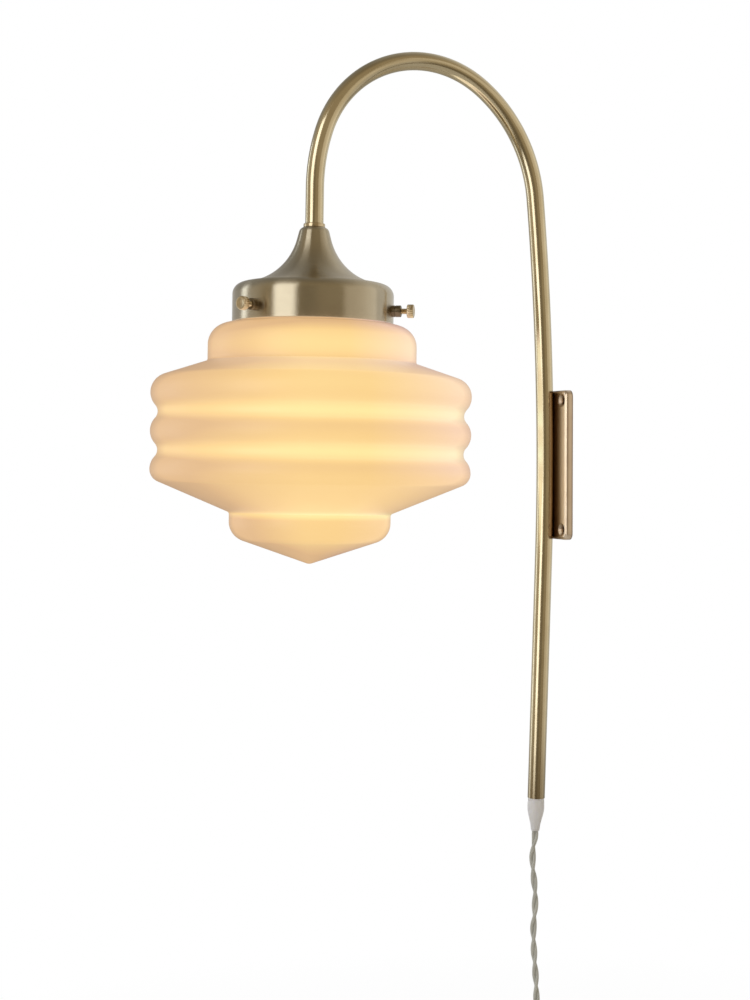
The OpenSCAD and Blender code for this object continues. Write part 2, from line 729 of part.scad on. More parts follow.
module bulb_tip() {
    color(steel) at_head() translate([0, 0, bulb_cap_top]) rotate_extrude()
        polygon([[0, 0], [4.6, 0], [3.4, tip_h], [0, tip_h]]);
}

// The cord inside the tube, from the gland's mouth to the lamp holder.
module inner_leads() {
    thin_r = cord_r - joint_step;
    color(textile) {
        along_arm() {
            circle(r = cord_r);
            circle(r = thin_r);
        }
        at_head() translate([0, 0, lead_end]) cylinder(r = thin_r - joint_step, h = joint_reach - lead_end);
        at_foot() translate([0, 0, -gland_h]) cylinder(r = thin_r, h = gland_h + joint_reach);
    }
}

// Gland: a soft milky sleeve, pushed into the tube, that tapers down to the cord.
module cord_gland() {
    mouth_r = cord_r + 0.7;
    belly = [[-0.5, 0], [-0.3, 0.11], [-0.25, 0.35], [-0.8, 0.5], [-1.7, 0.65],
        [mouth_r + 0.45 - tube_r, 0.81]];
    color(clear_sleeve) at_foot() rotate_extrude() polygon(concat(
        [[gland_bore_r, gland_in], [bore_r - fit - 0.6, gland_in],
        [bore_r - fit, gland_in - 1], [bore_r - fit, 0]],
        [for (b = belly) [tube_r + b[0], -b[1] * gland_h]],
        [[mouth_r, -gland_h + 1], [mouth_r - 0.2, -gland_h], [gland_bore_r, -gland_h]]));
}

module cord_hanging() {
    color(textile) cord_tube(hanging_route, cord_r, 8, [1, 0, 0]);
}

// Rounded block that both shells of the switch are cut from.
module switch_block(l, w, t, r) {
    hull() for (x = [r - w / 2, w / 2 - r]) for (z = [r - l / 2, l / 2 - r]) translate([x, 0, z])
        rotate([90, 0, 0]) rotate_extrude($fn = 32) polygon([
            [0, -t / 2], [r - 2, -t / 2], [r - 0.6, -t / 2 + 0.6], [r, -t / 2 + 2],
            [r, t / 2 - 2], [r - 0.6, t / 2 - 0.6], [r - 2, t / 2], [0, t / 2]]);
}

// One half of the switch: side 1 is the base on the wall's side, -1 the cover.
module switch_half(side) {
    inner_r = switch_round - switch_wall;
    difference() {
        switch_block(switch_l, switch_w, switch_t, switch_round);
        switch_block(switch_l - 2 * switch_wall, switch_w - 2 * switch_wall,
            switch_t - 2 * switch_wall, inner_r + 1);
        translate([-switch_w, side > 0 ? -switch_t : 0, -switch_l])
            cube([2 * switch_w, switch_t, 2 * switch_l]);
        for (end = [-1, 1]) translate([0, 0, end * switch_l / 2])
            cylinder(r = cord_r + fit, h = 8, center = true);
    }
}

module at_switch_screws() {
    for (s = [-1, 1]) translate([s * switch_screw_x, 0, s * switch_screw_z]) rotate([-90, 0, 0]) children();
}

module switch_base() {
    head_r = 2.4;
    color(dark_plastic) at_switch() difference() {
        union() {
            switch_half(1);
            at_switch_screws() cylinder(r = boss_r, h = switch_t / 2 - 1);
        }
        at_switch_screws() {
            translate([0, 0, -1]) cylinder(r = pilot_r + 0.3, h = switch_t);
            translate([0, 0, switch_t / 2 - 3]) cylinder(r = head_r + 0.1, h = 4);
        }
    }
}

module switch_cover() {
    color(dark_plastic) at_switch() difference() {
        union() {
            switch_half(-1);
            at_switch_screws() translate([0, 0, 1 - switch_t / 2])
                cylinder(r = boss_r, h = switch_t / 2 - 1);
            for (s = [-1, 1]) translate([s * (window_w + ear_t) / 2, rocker_pivot + 1.25, 0])
                cube([ear_t, 3.5, ear_h], center = true);
        }
        translate([-window_w / 2, -switch_t, -window_l / 2]) cube([window_w, switch_t, window_l]);
        translate([0, rocker_pivot, 0]) rotate([0, 90, 0])
            cylinder(r = rocker_pin_r + fit, h = window_w + 2 * rocker_pin_l, center = true);
        at_switch_screws() translate([0, 0, -6]) cylinder(r = pilot_r, h = 7);
    }
}

// Rocker: a shallow V that turns on two pins. It is drawn tilted to its on side.
module switch_rocker() {
    half = rocker_l / 2;
    color(dark_plastic) at_switch() translate([0, rocker_pivot, 0]) rotate([rocker_tilt, 0, 0]) {
        rotate([0, 90, 0]) linear_extrude(rocker_w, center = true)
            polygon([[-half, -rocker_rise], [-half * 0.5, -rocker_dip - 0.2], [0, -rocker_dip],
                [half * 0.5, -rocker_dip - 0.2], [half, -rocker_rise], [half - 1, 1.6], [2, 3.4], [-2, 3.4],
                [1 - half, 1.6]]);
        rotate([0, 90, 0])
            cylinder(r = rocker_pin_r, h = window_w + 2 * rocker_pin_l - 2 * loose, center = true);
    }
}

// Contacts: two brass strips on the base's floor, with a raised end under the rocker.
module switch_contacts() {
    floor_y = switch_t / 2 - switch_wall;
    color(brass) at_switch() for (s = [-1, 1]) translate([-strip_w / 2, 0, s * strip_out]) {
        translate([0, floor_y - contact_t, -strip_l / 2]) cube([strip_w, contact_t, strip_l]);
        translate([0, floor_y - strip_h, s * (contact_t - strip_l) / 2 - contact_t / 2])
            cube([strip_w, strip_h, contact_t]);
    }
}

module switch_screws() {
    head_r = 2.4;
    color(steel) at_switch() at_switch_screws() difference() {
        union() {
            translate([0, 0, -4]) cylinder(r = pilot_r - fit, h = switch_t / 2 + 1);
            translate([0, 0, switch_t / 2 - 3]) cylinder(r = head_r, h = 1.8);
        }
        translate([-head_r - 1, -0.4, switch_t / 2 - 1.8]) cube([2 * head_r + 2, 0.8, 1]);
    }
}

// The hank's least gap to itself, over points one loop ring apart or more on different turns.
module cord_hank() {
    fine = hank_route(2 * loop_rings);
    apart = loop_rings;
    least = min([for (i = [0:len(fine) - 1 - apart])
        min([for (j = [i + apart:len(fine) - 1]) norm(fine[i] - fine[j])])]);
    echo(hank_gap = least - cord_d, hank_gap_ok = least - cord_d > 0.4);
    color(textile) cord_tube(hank_route(loop_rings), cord_r, 6, [0, 1, 0]);
}

// Tie: a flat strap round the hank's waist.
module hank_tie() {
    slack = 1;
    half_x = hank_width(hank_first) - hank_draw + cord_r + loose + slack;
    back_y = cord_y + cord_r + loose;
    front_y = cord_y - 2 * hank_layer - cord_r - loose;
    half_y = (back_y - front_y) / 2;
    color(dark_plastic) translate([0, (back_y + front_y) / 2, hank_top - hank_run / 2 - tie_h / 2])
        linear_extrude(tie_h) difference() {
            strap_2d(half_x + tie_t, half_y + tie_t);
            strap_2d(half_x, half_y);
        }
}

// Flat outline with round ends.
module strap_2d(half_x, half_y) {
    square([2 * (half_x - half_y + cord_r), 2 * half_y], center = true);
    for (s = [-1, 1]) translate([s * (half_x - half_y + cord_r), 0]) intersection() {
        circle(r = half_y);
        square([2 * half_y, 2 * half_y], center = true);
    }
}

module cord_tail() {
    color(textile) cord_tube(tail_route, cord_r, 8, [0, 1, 0]);
}

// Plug: a tapered grip below its sleeve, with two flat blades.
module plug_body() {
    top_w = 11;
    top_t = 10;
    color(dark_plastic) at_plug() translate([0, 0, -sleeve_l]) difference() {
        hull() {
            translate([0, 0, -1]) plug_slice(top_t, top_w);
            translate([0, 0, -plug_l * 0.55]) plug_slice(plug_t, plug_w);
            translate([0, 0, -plug_l]) plug_slice(plug_t, plug_w);
        }
        for (s = [-1, 1]) translate([-blade_t / 2 - fit, (s * blade_span - blade_w) / 2 - fit, -plug_l - 1])
            cube([blade_t + 2 * fit, blade_w + 2 * fit, blade_root + 1]);
    }
}

module plug_slice(t, w) {
    for (x = [2 - t / 2, t / 2 - 2]) for (y = [2 - w / 2, w / 2 - 2])
        translate([x, y, 0]) cylinder(r = 2, h = 1, $fn = 32);
}

module plug_sleeve() {
    ring_h = 2.2;
    ring_count = 5;
    color(dark_plastic) at_plug() translate([0, 0, -sleeve_l]) difference() {
        union() {
            cylinder(r1 = 4.6, r2 = cord_r + 0.6, h = sleeve_l);
            for (k = [0:ring_count - 1]) translate([0, 0, 2 + k * sleeve_l / (ring_count + 1)])
                cylinder(r1 = 4.9 - k * 0.35, r2 = 4.8 - k * 0.35, h = ring_h);
        }
        translate([0, 0, sleeve_l]) cylinder(r = cord_r + fit, h = 2, center = true);
    }
}

module plug_blades() {
    nose = 1.5;
    half_w = blade_w / 2;
    color(brass) at_plug() for (s = [-1, 1])
        translate([-blade_t / 2, s * blade_span / 2, -sleeve_l - plug_l])
        rotate([90, 0, 90]) linear_extrude(blade_t) difference() {
            polygon([[-half_w, blade_root], [half_w, blade_root], [half_w, nose - blade_l],
                [half_w - nose, -blade_l], [nose - half_w, -blade_l], [-half_w, nose - blade_l]]);
            translate([0, 3 - blade_l]) circle(d = 3);
        }
}

wall_plate();
arm_tube();
neck_collar();
shade_gallery();
gallery_bushes();
thumb_screw_1();
thumb_screw_2();
thumb_screw_3();
glass_shade();
threaded_nipple();
nipple_washer();
lock_nut();
holder_cap();
holder_body();
holder_insert();
terminal_screws();
holder_shell();
holder_contact();
bulb_globe();
bulb_cap();
bulb_tip();
inner_leads();
cord_gland();
cord_hanging();
switch_base();
switch_cover();
switch_rocker();
switch_contacts();
switch_screws();
cord_hank();
hank_tie();
cord_tail();
plug_body();
plug_sleeve();
plug_blades();
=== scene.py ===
import math

import bmesh
import bpy
import numpy as np
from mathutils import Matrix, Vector


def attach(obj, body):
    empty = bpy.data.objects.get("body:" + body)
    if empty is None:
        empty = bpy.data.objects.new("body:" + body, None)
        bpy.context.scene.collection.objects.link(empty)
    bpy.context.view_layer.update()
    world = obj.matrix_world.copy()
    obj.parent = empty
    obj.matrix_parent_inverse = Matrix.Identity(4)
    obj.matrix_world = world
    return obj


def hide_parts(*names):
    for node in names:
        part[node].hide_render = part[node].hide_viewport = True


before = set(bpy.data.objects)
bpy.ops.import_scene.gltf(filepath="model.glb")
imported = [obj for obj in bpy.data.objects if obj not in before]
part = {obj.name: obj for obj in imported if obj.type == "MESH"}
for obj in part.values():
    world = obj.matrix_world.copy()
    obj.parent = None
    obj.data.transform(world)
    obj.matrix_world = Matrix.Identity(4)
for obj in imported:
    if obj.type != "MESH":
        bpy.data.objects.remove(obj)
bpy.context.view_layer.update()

# Wall plate: a thick strip of rosy brass with rounded corners and front edges, drilled and countersunk for
# four wood screws. It is milled, polished, and carries the brazed tube.
mm, merge_reach = 0.001, 2e-6


def grid_faces(rows, columns, wrap_rows, wrap_columns):
    """Corner numbers of the quads of a grid: (i, j), (i+1, j), (i+1, j+1), (i, j+1). A wrapped side joins
    its last line to its first. The second array counts on past the seam, for a UV map."""
    i, j = np.meshgrid(np.arange(rows if wrap_rows else rows - 1),
                       np.arange(columns if wrap_columns else columns - 1), indexing="ij")
    i = np.stack([i, i + 1, i + 1, i], -1).reshape(-1, 4)
    j = np.stack([j, j, j + 1, j + 1], -1).reshape(-1, 4)
    return (i % rows) * columns + j % columns, np.stack([i, j], -1)


def running_length(points, axis, wrap):
    """Distance in millimetres from the first line of a grid to each next one, as a mean over the lines."""
    if wrap:
        points = np.concatenate([points, points.take([0], axis)], axis)
    steps = np.linalg.norm(np.diff(points, axis=axis), axis=-1).mean(1 - axis)
    return np.concatenate([[0.0], np.cumsum(steps)])


def smooth_faces(mesh, crease):
    """Smooth shading, broken at edges whose faces meet at more than the crease angle."""
    mesh.polygons.foreach_set("use_smooth", np.ones(len(mesh.polygons), bool))
    mesh.set_sharp_from_angle(angle=math.radians(crease))


def surface_piece(name, grids, flats=(), crease=38.0):
    """One closed mesh from grids (points[rows, columns, 3] in millimetres, wrap_rows, wrap_columns) and from
    flat outlines, each filled by one face. The UV map counts millimetres along a grid's rows and columns."""
    spots, corners, maps, sizes, count = [], [], [], [], 0
    for points, wrap_rows, wrap_columns in grids:
        faces, seats = grid_faces(*points.shape[:2], wrap_rows, wrap_columns)
        u, v = running_length(points, 0, wrap_rows), running_length(points, 1, wrap_columns)
        spots.append(points.reshape(-1, 3))
        corners.append((faces + count).ravel())
        maps.append(np.stack([u[seats[..., 0]], v[seats[..., 1]]], -1).reshape(-1, 2))
        sizes.append(np.full(len(faces), 4))
        count += len(spots[-1])
    for outline in flats:
        spots.append(outline)
        corners.append(np.arange(count, count + len(outline)))
        maps.append(outline[:, [0, 2]])
        sizes.append(np.array([len(outline)]))
        count += len(outline)
    corners, sizes = np.concatenate(corners), np.concatenate(sizes)
    mesh = bpy.data.meshes.new(name)
    mesh.vertices.add(count)
    mesh.vertices.foreach_set("co", (np.concatenate(spots) * mm).ravel())
    mesh.loops.add(len(corners))
    mesh.loops.foreach_set("vertex_index", corners.astype(np.int32))
    mesh.polygons.add(len(sizes))
    mesh.polygons.foreach_set("loop_start", (np.cumsum(sizes) - sizes).astype(np.int32))
    mesh.uv_layers.new(name="along").data.foreach_set("uv", np.concatenate(maps).ravel())
    mesh.update(calc_edges=True)
    shell = bmesh.new()
    shell.from_mesh(mesh)
    bmesh.ops.remove_doubles(shell, verts=shell.verts, dist=merge_reach)
    bmesh.ops.recalc_face_normals(shell, faces=shell.faces)
    shell.to_mesh(mesh)
    shell.free()
    smooth_faces(mesh, crease)
    piece = bpy.data.objects.new(name, mesh)
    bpy.context.scene.collection.objects.link(piece)
    return piece


def dress(piece, body, slot, material, *nodes):
    """Gives a new piece its finish, the body it rides on and the solids that it stands for."""
    piece.data.materials.append(material)
    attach(piece, body)
    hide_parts(*nodes)


class Wiring:
    """Adds nodes to a node tree and fills their inputs: a value is set on the socket, and a socket is linked
    to it. An input goes by its name, with _ for a space, or by _ and its number."""

    def __init__(self, tree):
        self.tree = tree

    def __call__(self, kind, settings=None, **inputs):
        made = self.tree.nodes.new(kind)
        for key, value in (settings or {}).items():
            setattr(made, key, value)
        self.fill(made, **inputs)
        return made

    def fill(self, made, **inputs):
        """Fills inputs of a node that is there already."""
        for key, value in inputs.items():
            socket = made.inputs[int(key[1:])] if key[0] == "_" else made.inputs[key.replace("_", " ")]
            if isinstance(value, bpy.types.NodeSocket):
                self.tree.links.new(value, socket)
            else:
                socket.default_value = value

    def place(self):
        """Object coordinates, in metres."""
        return self("ShaderNodeTexCoord").outputs["Object"]

    def place_mm(self):
        """Object coordinates, in millimetres."""
        return self("ShaderNodeVectorMath", {"operation": "SCALE"}, Vector=self.place(),
                    Scale=1 / mm).outputs["Vector"]

    def attribute(self, name):
        """A value kept at the mesh's points."""
        return self("ShaderNodeAttribute", {"attribute_name": name}).outputs["Fac"]

    def math(self, operation, *values, clamp=False):
        """An operation on values, in the order of its inputs."""
        numbered = {f"_{k}": value for k, value in enumerate(values)}
        settings = {"operation": operation, "use_clamp": clamp}
        return self("ShaderNodeMath", settings, **numbered).outputs["Value"]

    def vector(self, operation, *values, result="Vector"):
        """An operation on vectors. Its result is a vector, or a plain value where that is named."""
        numbered = {f"_{k}": value for k, value in enumerate(values)}
        return self("ShaderNodeVectorMath", {"operation": operation}, **numbered).outputs[result]

    def span(self, value, low, high, to_low=0.0, to_high=1.0, kind="LINEAR"):
        """Carries the span from low to high over to another one, and keeps its ends beyond them."""
        return self("ShaderNodeMapRange", {"interpolation_type": kind}, Value=value, From_Min=low,
                    From_Max=high, To_Min=to_low, To_Max=to_high).outputs["Result"]

    def noise(self, place, scale, detail, roughness=0.5):
        """Soft unevenness from 0 to 1, with scale waves to a unit of place."""
        return self("ShaderNodeTexNoise", Vector=place, Scale=scale, Detail=detail,
                    Roughness=roughness).outputs["Fac"]

    def blend(self, factor, first, second, kind="MIX"):
        """Two colours mixed, or the second one worked onto the first."""
        settings = {"data_type": "RGBA", "blend_type": kind}
        return self("ShaderNodeMix", settings, Factor=factor, _6=first, _7=second).outputs[2]

    def tones(self, value, *stops):
        """Colours that change along a value: stops are pairs of position and colour, in rising order."""
        ramp = self("ShaderNodeValToRGB", Fac=value)
        marks = ramp.color_ramp.elements
        for mark, (position, colour) in zip(marks, (stops[0], stops[-1])):
            mark.position, mark.color = position, colour + (1,)
        for position, colour in stops[1:-1]:
            marks.new(position).color = colour + (1,)
        return ramp.outputs["Color"]

    def bump(self, height, strength, distance):
        """Normals of a relief that is distance metres deep."""
        return self("ShaderNodeBump", Strength=strength, Distance=distance, Height=height).outputs["Normal"]


def new_material(name):
    """A material, its Principled BSDF and the wiring of its nodes."""
    material = bpy.data.materials.new(name)
    material.use_nodes = True
    return material, material.node_tree.nodes["Principled BSDF"], Wiring(material.node_tree)


def group_of(name, inputs, outputs):
    """An empty node group with named sockets, its wiring, its input sockets and its output node."""
    tree = bpy.data.node_groups.new(name, "ShaderNodeTree")
    for label, kind, value in inputs:
        made = tree.interface.new_socket(label, in_out="INPUT", socket_type=kind)
        if value is not None:
            made.default_value = value
    for label, kind in outputs:
        tree.interface.new_socket(label, in_out="OUTPUT", socket_type=kind)
    add = Wiring(tree)
    return tree, add, add("NodeGroupInput").outputs, add("NodeGroupOutput")


def metal_finish_group():
    """Worked metal: cloudy tarnish mixes two tones, and streaks along the tool's path move the roughness and
    the relief. Place is in millimetres, Streak stretches it to the direction of the tool."""
    tree, add, given, result = group_of(
        "worked_metal",
        [("Place", "NodeSocketVector", None), ("Streak", "NodeSocketVector", (1.0, 1.0, 1.0)),
         ("Bright", "NodeSocketColor", None), ("Tarnished", "NodeSocketColor", None),
         ("Cloud", "NodeSocketFloat", 0.05), ("Smooth", "NodeSocketFloat", 0.15),
         ("Rough", "NodeSocketFloat", 0.3)],
        [("Color", "NodeSocketColor"), ("Roughness", "NodeSocketFloat"), ("Relief", "NodeSocketFloat")])
    cloud = add.noise(given["Place"], scale=given["Cloud"], detail=4.0, roughness=0.6)
    along = add.vector("MULTIPLY", given["Place"], given["Streak"])
    streak = add.noise(along, scale=1.0, detail=3.0, roughness=0.65)
    stain = add.span(cloud, 0.35, 0.7)
    mixed = add.math("ADD", streak, add.math("MULTIPLY_ADD", cloud, 0.5, -0.25), clamp=True)
    add.fill(result, Color=add.blend(stain, given["Bright"], given["Tarnished"]),
             Roughness=add.span(mixed, 0.25, 0.75, given["Smooth"], given["Rough"]), Relief=streak)
    return tree


metal_finish = metal_finish_group()
# The first is the dark tone that painted shade multiplies into a metal's colour.
painted_shade_tone, streak_depth, quarter_turn = (0.22, 0.16, 0.11, 1), 0.0005, 0.25


def worked_metal(name, bright, tarnished, smooth, rough, streak, cloud=0.05, relief=0.02, uv=True, painted_shade=None,
                 lathe=0.0):
    """Metal with the shared finish: place comes from the piece's UV map, or from Object coordinates. Painted
    shade, if given, builds from the wiring the mask of the places painted darker, where shade and dark
    reflections fall. Lathe is how far fine rings round the piece draw a highlight out along its profile."""
    material, shader, add = new_material(name)
    place = add("ShaderNodeTexCoord").outputs["UV"] if uv else add.place_mm()
    finish = add("ShaderNodeGroup", {"node_tree": metal_finish}, Place=place, Streak=streak,
                 Bright=bright + (1,), Tarnished=tarnished + (1,), Cloud=cloud, Smooth=smooth,
                 Rough=rough).outputs
    tone = finish["Color"]
    # Painted shade: the mask multiplies the dark tone in where shade and dark reflections fall.
    if painted_shade:
        tone = add.blend(painted_shade(add), tone, painted_shade_tone, "MULTIPLY")
    if lathe:
        round_the_piece = add("ShaderNodeTangent", {"direction_type": "UV_MAP", "uv_map": "along"})
        add.fill(shader, Anisotropic=lathe, Anisotropic_Rotation=quarter_turn,
                 Tangent=round_the_piece.outputs["Tangent"])
    add.fill(shader, Base_Color=tone, Metallic=1.0, Roughness=finish["Roughness"],
             Normal=add.bump(finish["Relief"], relief, streak_depth))
    return material


plate_w, plate_h, plate_t = 42.0, 103.0, 5.4
plate_corner_r, plate_edge_r, plate_face_in = 4.5, 2.25, 0.3
hole_x, hole_z, hole_r, sink_r = 14.8, 44.5, 2.25, 4.4
drill_over, drill_through, drill_sides = 2.0, 1.0, 48


def rounded_loop(inset, y, steps=10):
    """The plate's outline moved inwards: four corner arcs of the radius left over, at depth y."""
    turn = np.radians(np.linspace(0, 90, steps + 1) + np.arange(4)[:, None] * 90).ravel()
    side = np.repeat([[1, 1], [-1, 1], [-1, -1], [1, -1]], steps + 1, axis=0)
    middle = side * [plate_w / 2 - plate_corner_r, plate_h / 2 - plate_corner_r]
    x, z = (middle + (plate_corner_r - inset) * np.stack([np.cos(turn), np.sin(turn)], -1)).T
    return np.stack([x, np.full_like(x, y), z], -1)


def turned(profile, sides):
    """A profile of (radius, height) turned about Z: (r cos t, r sin t, h)."""
    t = np.linspace(0, 2 * np.pi, sides, endpoint=False)[:, None]
    r, h = profile.T
    return np.stack([r * np.cos(t), r * np.sin(t), np.broadcast_to(h, (sides, len(h)))], -1)


def cut_out(piece, tool, crease):
    """Takes a closed tool out of a closed piece, and keeps the result as a plain mesh."""
    cut = piece.modifiers.new("cut", "BOOLEAN")
    cut.operation, cut.solver, cut.object = "DIFFERENCE", "EXACT", tool
    whole = piece.data
    evaluated = piece.evaluated_get(bpy.context.evaluated_depsgraph_get())
    piece.data = bpy.data.meshes.new_from_object(evaluated)
    piece.modifiers.clear()
    bpy.data.objects.remove(tool)
    bpy.data.meshes.remove(whole)
    smooth_faces(piece.data, crease)


rim = [rounded_loop(plate_face_in, 0), rounded_loop(0, 0)]
for bend in np.radians(np.linspace(0, 90, 13)):
    inset, front = plate_edge_r * (1 - math.cos(bend)), plate_edge_r * (1 - math.sin(bend))
    rim.append(rounded_loop(inset, front - plate_t))
rim.append(rounded_loop(plate_edge_r + plate_face_in, -plate_t))
wall_plate = surface_piece("wall_plate_brass", [(np.stack(rim), False, True)], (rim[0], rim[-1]))
sink = np.array([[0, plate_t + drill_over], [sink_r + drill_over, plate_t + drill_over],
                 [hole_r, plate_t - sink_r + hole_r], [hole_r, -drill_through], [0, -drill_through]])
drill = turned(sink, drill_sides) @ np.array([[1, 0, 0], [0, 0, 1], [0, -1, 0]])
drills = surface_piece("drills", [(drill + [x, 0, z], True, False)
                                  for x in (-hole_x, hole_x) for z in (-hole_z, hole_z)])
cut_out(wall_plate, drills, crease=30)

# Where the plate's painted shade ends and where it is full: distances from the middle, the wall and a hole's
# axis.
tube_shade_reach, wall_shade_reach, hole_shade_reach, wall_shade_share = (17.5, 7.0), (1.2, 0.2), (3.9, 2.7), 0.8


def plate_painted_shade(add):
    """Painted shade on the plate: beside the brazed tube, where its shade and dark reflection fall, in the
    screw holes and along the edge on the wall.
    """
    place = add.vector("ABSOLUTE", add.place_mm())
    sides = add("ShaderNodeSeparateXYZ", Vector=place).outputs
    beside_tube = add.span(sides["X"], *tube_shade_reach)
    at_wall = add.span(sides["Y"], *wall_shade_reach, to_high=wall_shade_share)
    from_hole = add.vector("SUBTRACT", place, (hole_x, 0, hole_z))
    from_hole = add.vector("LENGTH", add.vector("MULTIPLY", from_hole, (1, 0, 1)), result="Value")
    dark = add.math("MAXIMUM", beside_tube, at_wall)
    return add.math("MAXIMUM", dark, add.span(from_hole, *hole_shade_reach))


rosy_brass = worked_metal("rosy_brass", (0.95, 0.78, 0.59), (0.84, 0.66, 0.48), smooth=0.27, rough=0.36,
                          streak=(0.9, 0.9, 0.03), cloud=0.04, uv=False, painted_shade=plate_painted_shade)
dress(wall_plate, "arm", "wall_plate", rosy_brass, "wall_plate")

# Arm: one length of drawn brass tube. Its leg is slightly bowed along the wall, and it is bent by hand over a
# former into an arch, with a softer bend before and after it, so that its end hangs down over the shade.
tube_r, tube_wall, tube_sides, tube_sunk = 6.0, 0.95, 56, 1.0
arm_y = -(plate_t + tube_r - tube_sunk)
bow_r, bow_down, leg_down, leg_up = 2070.0, 65.5, 232.0, 184.0
entry_r, entry_angle, arch_r, exit_r, exit_angle = 101.4, 48.3, 74.3, 125.4, 17.8
arm_turn, tube_drop = 179.0, 26.2
bow_turn = bow_down / bow_r
foot_lean, rise = math.degrees(bow_turn), math.degrees(leg_up / bow_r)
foot_run = leg_down - bow_down
bow_y, bow_z = arm_y - bow_r * (1 - math.cos(bow_turn)), -bow_r * math.sin(bow_turn)
foot_y = bow_y - foot_run * math.sin(bow_turn)
foot_z = bow_z - foot_run * math.cos(bow_turn)


def straight(y, z, heading, length, steps):
    """A straight stretch from y, z along a heading in degrees."""
    way = np.array([math.cos(math.radians(heading)), math.sin(math.radians(heading)), 0.0])
    return np.array([y, z, heading]) + way * np.linspace(0, length, steps + 1)[:, None]


def arm_line():
    """The tube's centre line from foot to head: y, z and heading in degrees. Each bend of radius r turns
    about a point r to the left, so a point is that centre + r (cos, sin)(heading - 90)."""
    y, z, heading = bow_y, bow_z, 90 - foot_lean
    line = [straight(foot_y, foot_z, heading, foot_run, 30)[:-1]]
    arch_angle = arm_turn - rise - entry_angle - exit_angle
    for r, a, steps in ((bow_r, foot_lean + rise, 50), (entry_r, entry_angle, 44), (arch_r, arch_angle, 110),
                        (exit_r, exit_angle, 24)):
        turn = np.radians(heading - 90 + np.linspace(0, a, steps + 1))
        cy, cz = y - r * math.cos(turn[0]), z - r * math.sin(turn[0])
        line.append(np.stack([cy + r * np.cos(turn), cz + r * np.sin(turn), np.degrees(turn) + 90], -1)[:-1])
        y, z, heading = cy + r * math.cos(turn[-1]), cz + r * math.sin(turn[-1]), heading + a
    return np.concatenate(line + [straight(y, z, heading, tube_drop, 4)])


def tube_along(line, radius):
    """Rings of that radius across the line: centre + r (cos t X + sin t N), with N square to the heading."""
    t = np.linspace(0, 2 * np.pi, tube_sides, endpoint=False)[:, None]
    square = np.radians(line[:, 2] + 90)
    across = np.stack([np.zeros(len(line)), np.cos(square), np.sin(square)], -1)
    centre = np.stack([np.zeros(len(line)), line[:, 0], line[:, 1]], -1)
    return centre[:, None] + radius * (np.cos(t) * [1, 0, 0] + np.sin(t) * across[:, None])


line = arm_line()
head_y, head_z, head_lean = line[-1, 0], line[-1, 1], line[-1, 2] - 270
outer = tube_along(line, tube_r)
bore = tube_along(np.concatenate([line[:-1:4], line[-1:]]), tube_r - tube_wall)
ends = [(np.stack([outer[k], bore[k]]), False, True) for k in (0, -1)]
arm_tube = surface_piece("arm_tube_brass", [(outer, False, True), (bore, False, True)] + ends)
foot_shade_top, foot_shade_share = -0.18, 0.45


def foot_painted_shade(add):
    """Painted shade: the tube darkens towards its cut end at the foot."""
    height = add("ShaderNodeSeparateXYZ", Vector=add.place()).outputs["Z"]
    return add.span(height, foot_shade_top, foot_z * mm, to_high=foot_shade_share)


drawn_brass = worked_metal("drawn_brass", (0.78, 0.665, 0.44), (0.67, 0.555, 0.345), smooth=0.12, rough=0.2,
                           streak=(0.05, 2.2, 1.0), cloud=0.03, painted_shade=foot_painted_shade)
dress(arm_tube, "arm", "arm_tube", drawn_brass, "arm_tube")

# Neck collar: a short ring that covers the joint between the tube's end and the bell. It is turned from brass
# rod, with a rounded upper edge.
collar_h, collar_out, collar_in, collar_edge, collar_sides = 2.4, tube_r + 1.1, tube_r - 0.2, 0.7, 72
edge_step = 15


def leaning(angle):
    """The turn about X by an angle in degrees."""
    c, s = math.cos(math.radians(angle)), math.sin(math.radians(angle))
    return np.array([[1, 0, 0], [0, c, -s], [0, s, c]])


def at_head(points):
    """From the lamp head's own frame, z = 0 at the bell's top face, into the lamp's frame."""
    return points @ leaning(head_lean).T + [0, head_y, head_z]


def chain(stretches, off=0.0, step=4.0):
    """Outline of round stretches (centre r, centre h, radius, first normal, last normal): centre +
    (radius - off)(cos, sin)(normal), a point every step degrees. The radius is negative where the outline is
    hollow, so one offset gives a wall's other face."""
    arcs = []
    for r, h, radius, first, last in stretches:
        turn = np.radians(np.linspace(first, last, max(2, int(abs(last - first) / step) + 1)))
        arcs.append(np.stack([r + (radius - off) * np.cos(turn), h + (radius - off) * np.sin(turn)], -1))
    return np.concatenate(arcs)


collar_round = (collar_out - collar_edge, collar_h - collar_edge, collar_edge, 0, 90)
collar_ring = np.concatenate([[[collar_in, 0], [collar_out, 0]], chain([collar_round], step=edge_step),
                              [[collar_in, collar_h]]])
neck_collar = surface_piece("neck_collar_brass", [(at_head(turned(collar_ring, collar_sides)), True, True)])
turned_brass = worked_metal("turned_brass", (0.76, 0.62, 0.40), (0.62, 0.48, 0.28), smooth=0.14, rough=0.28,
                            streak=(0.02, 4.0, 1.0), cloud=0.2)
dress(neck_collar, "arm", "neck_collar", turned_brass, "neck_collar")

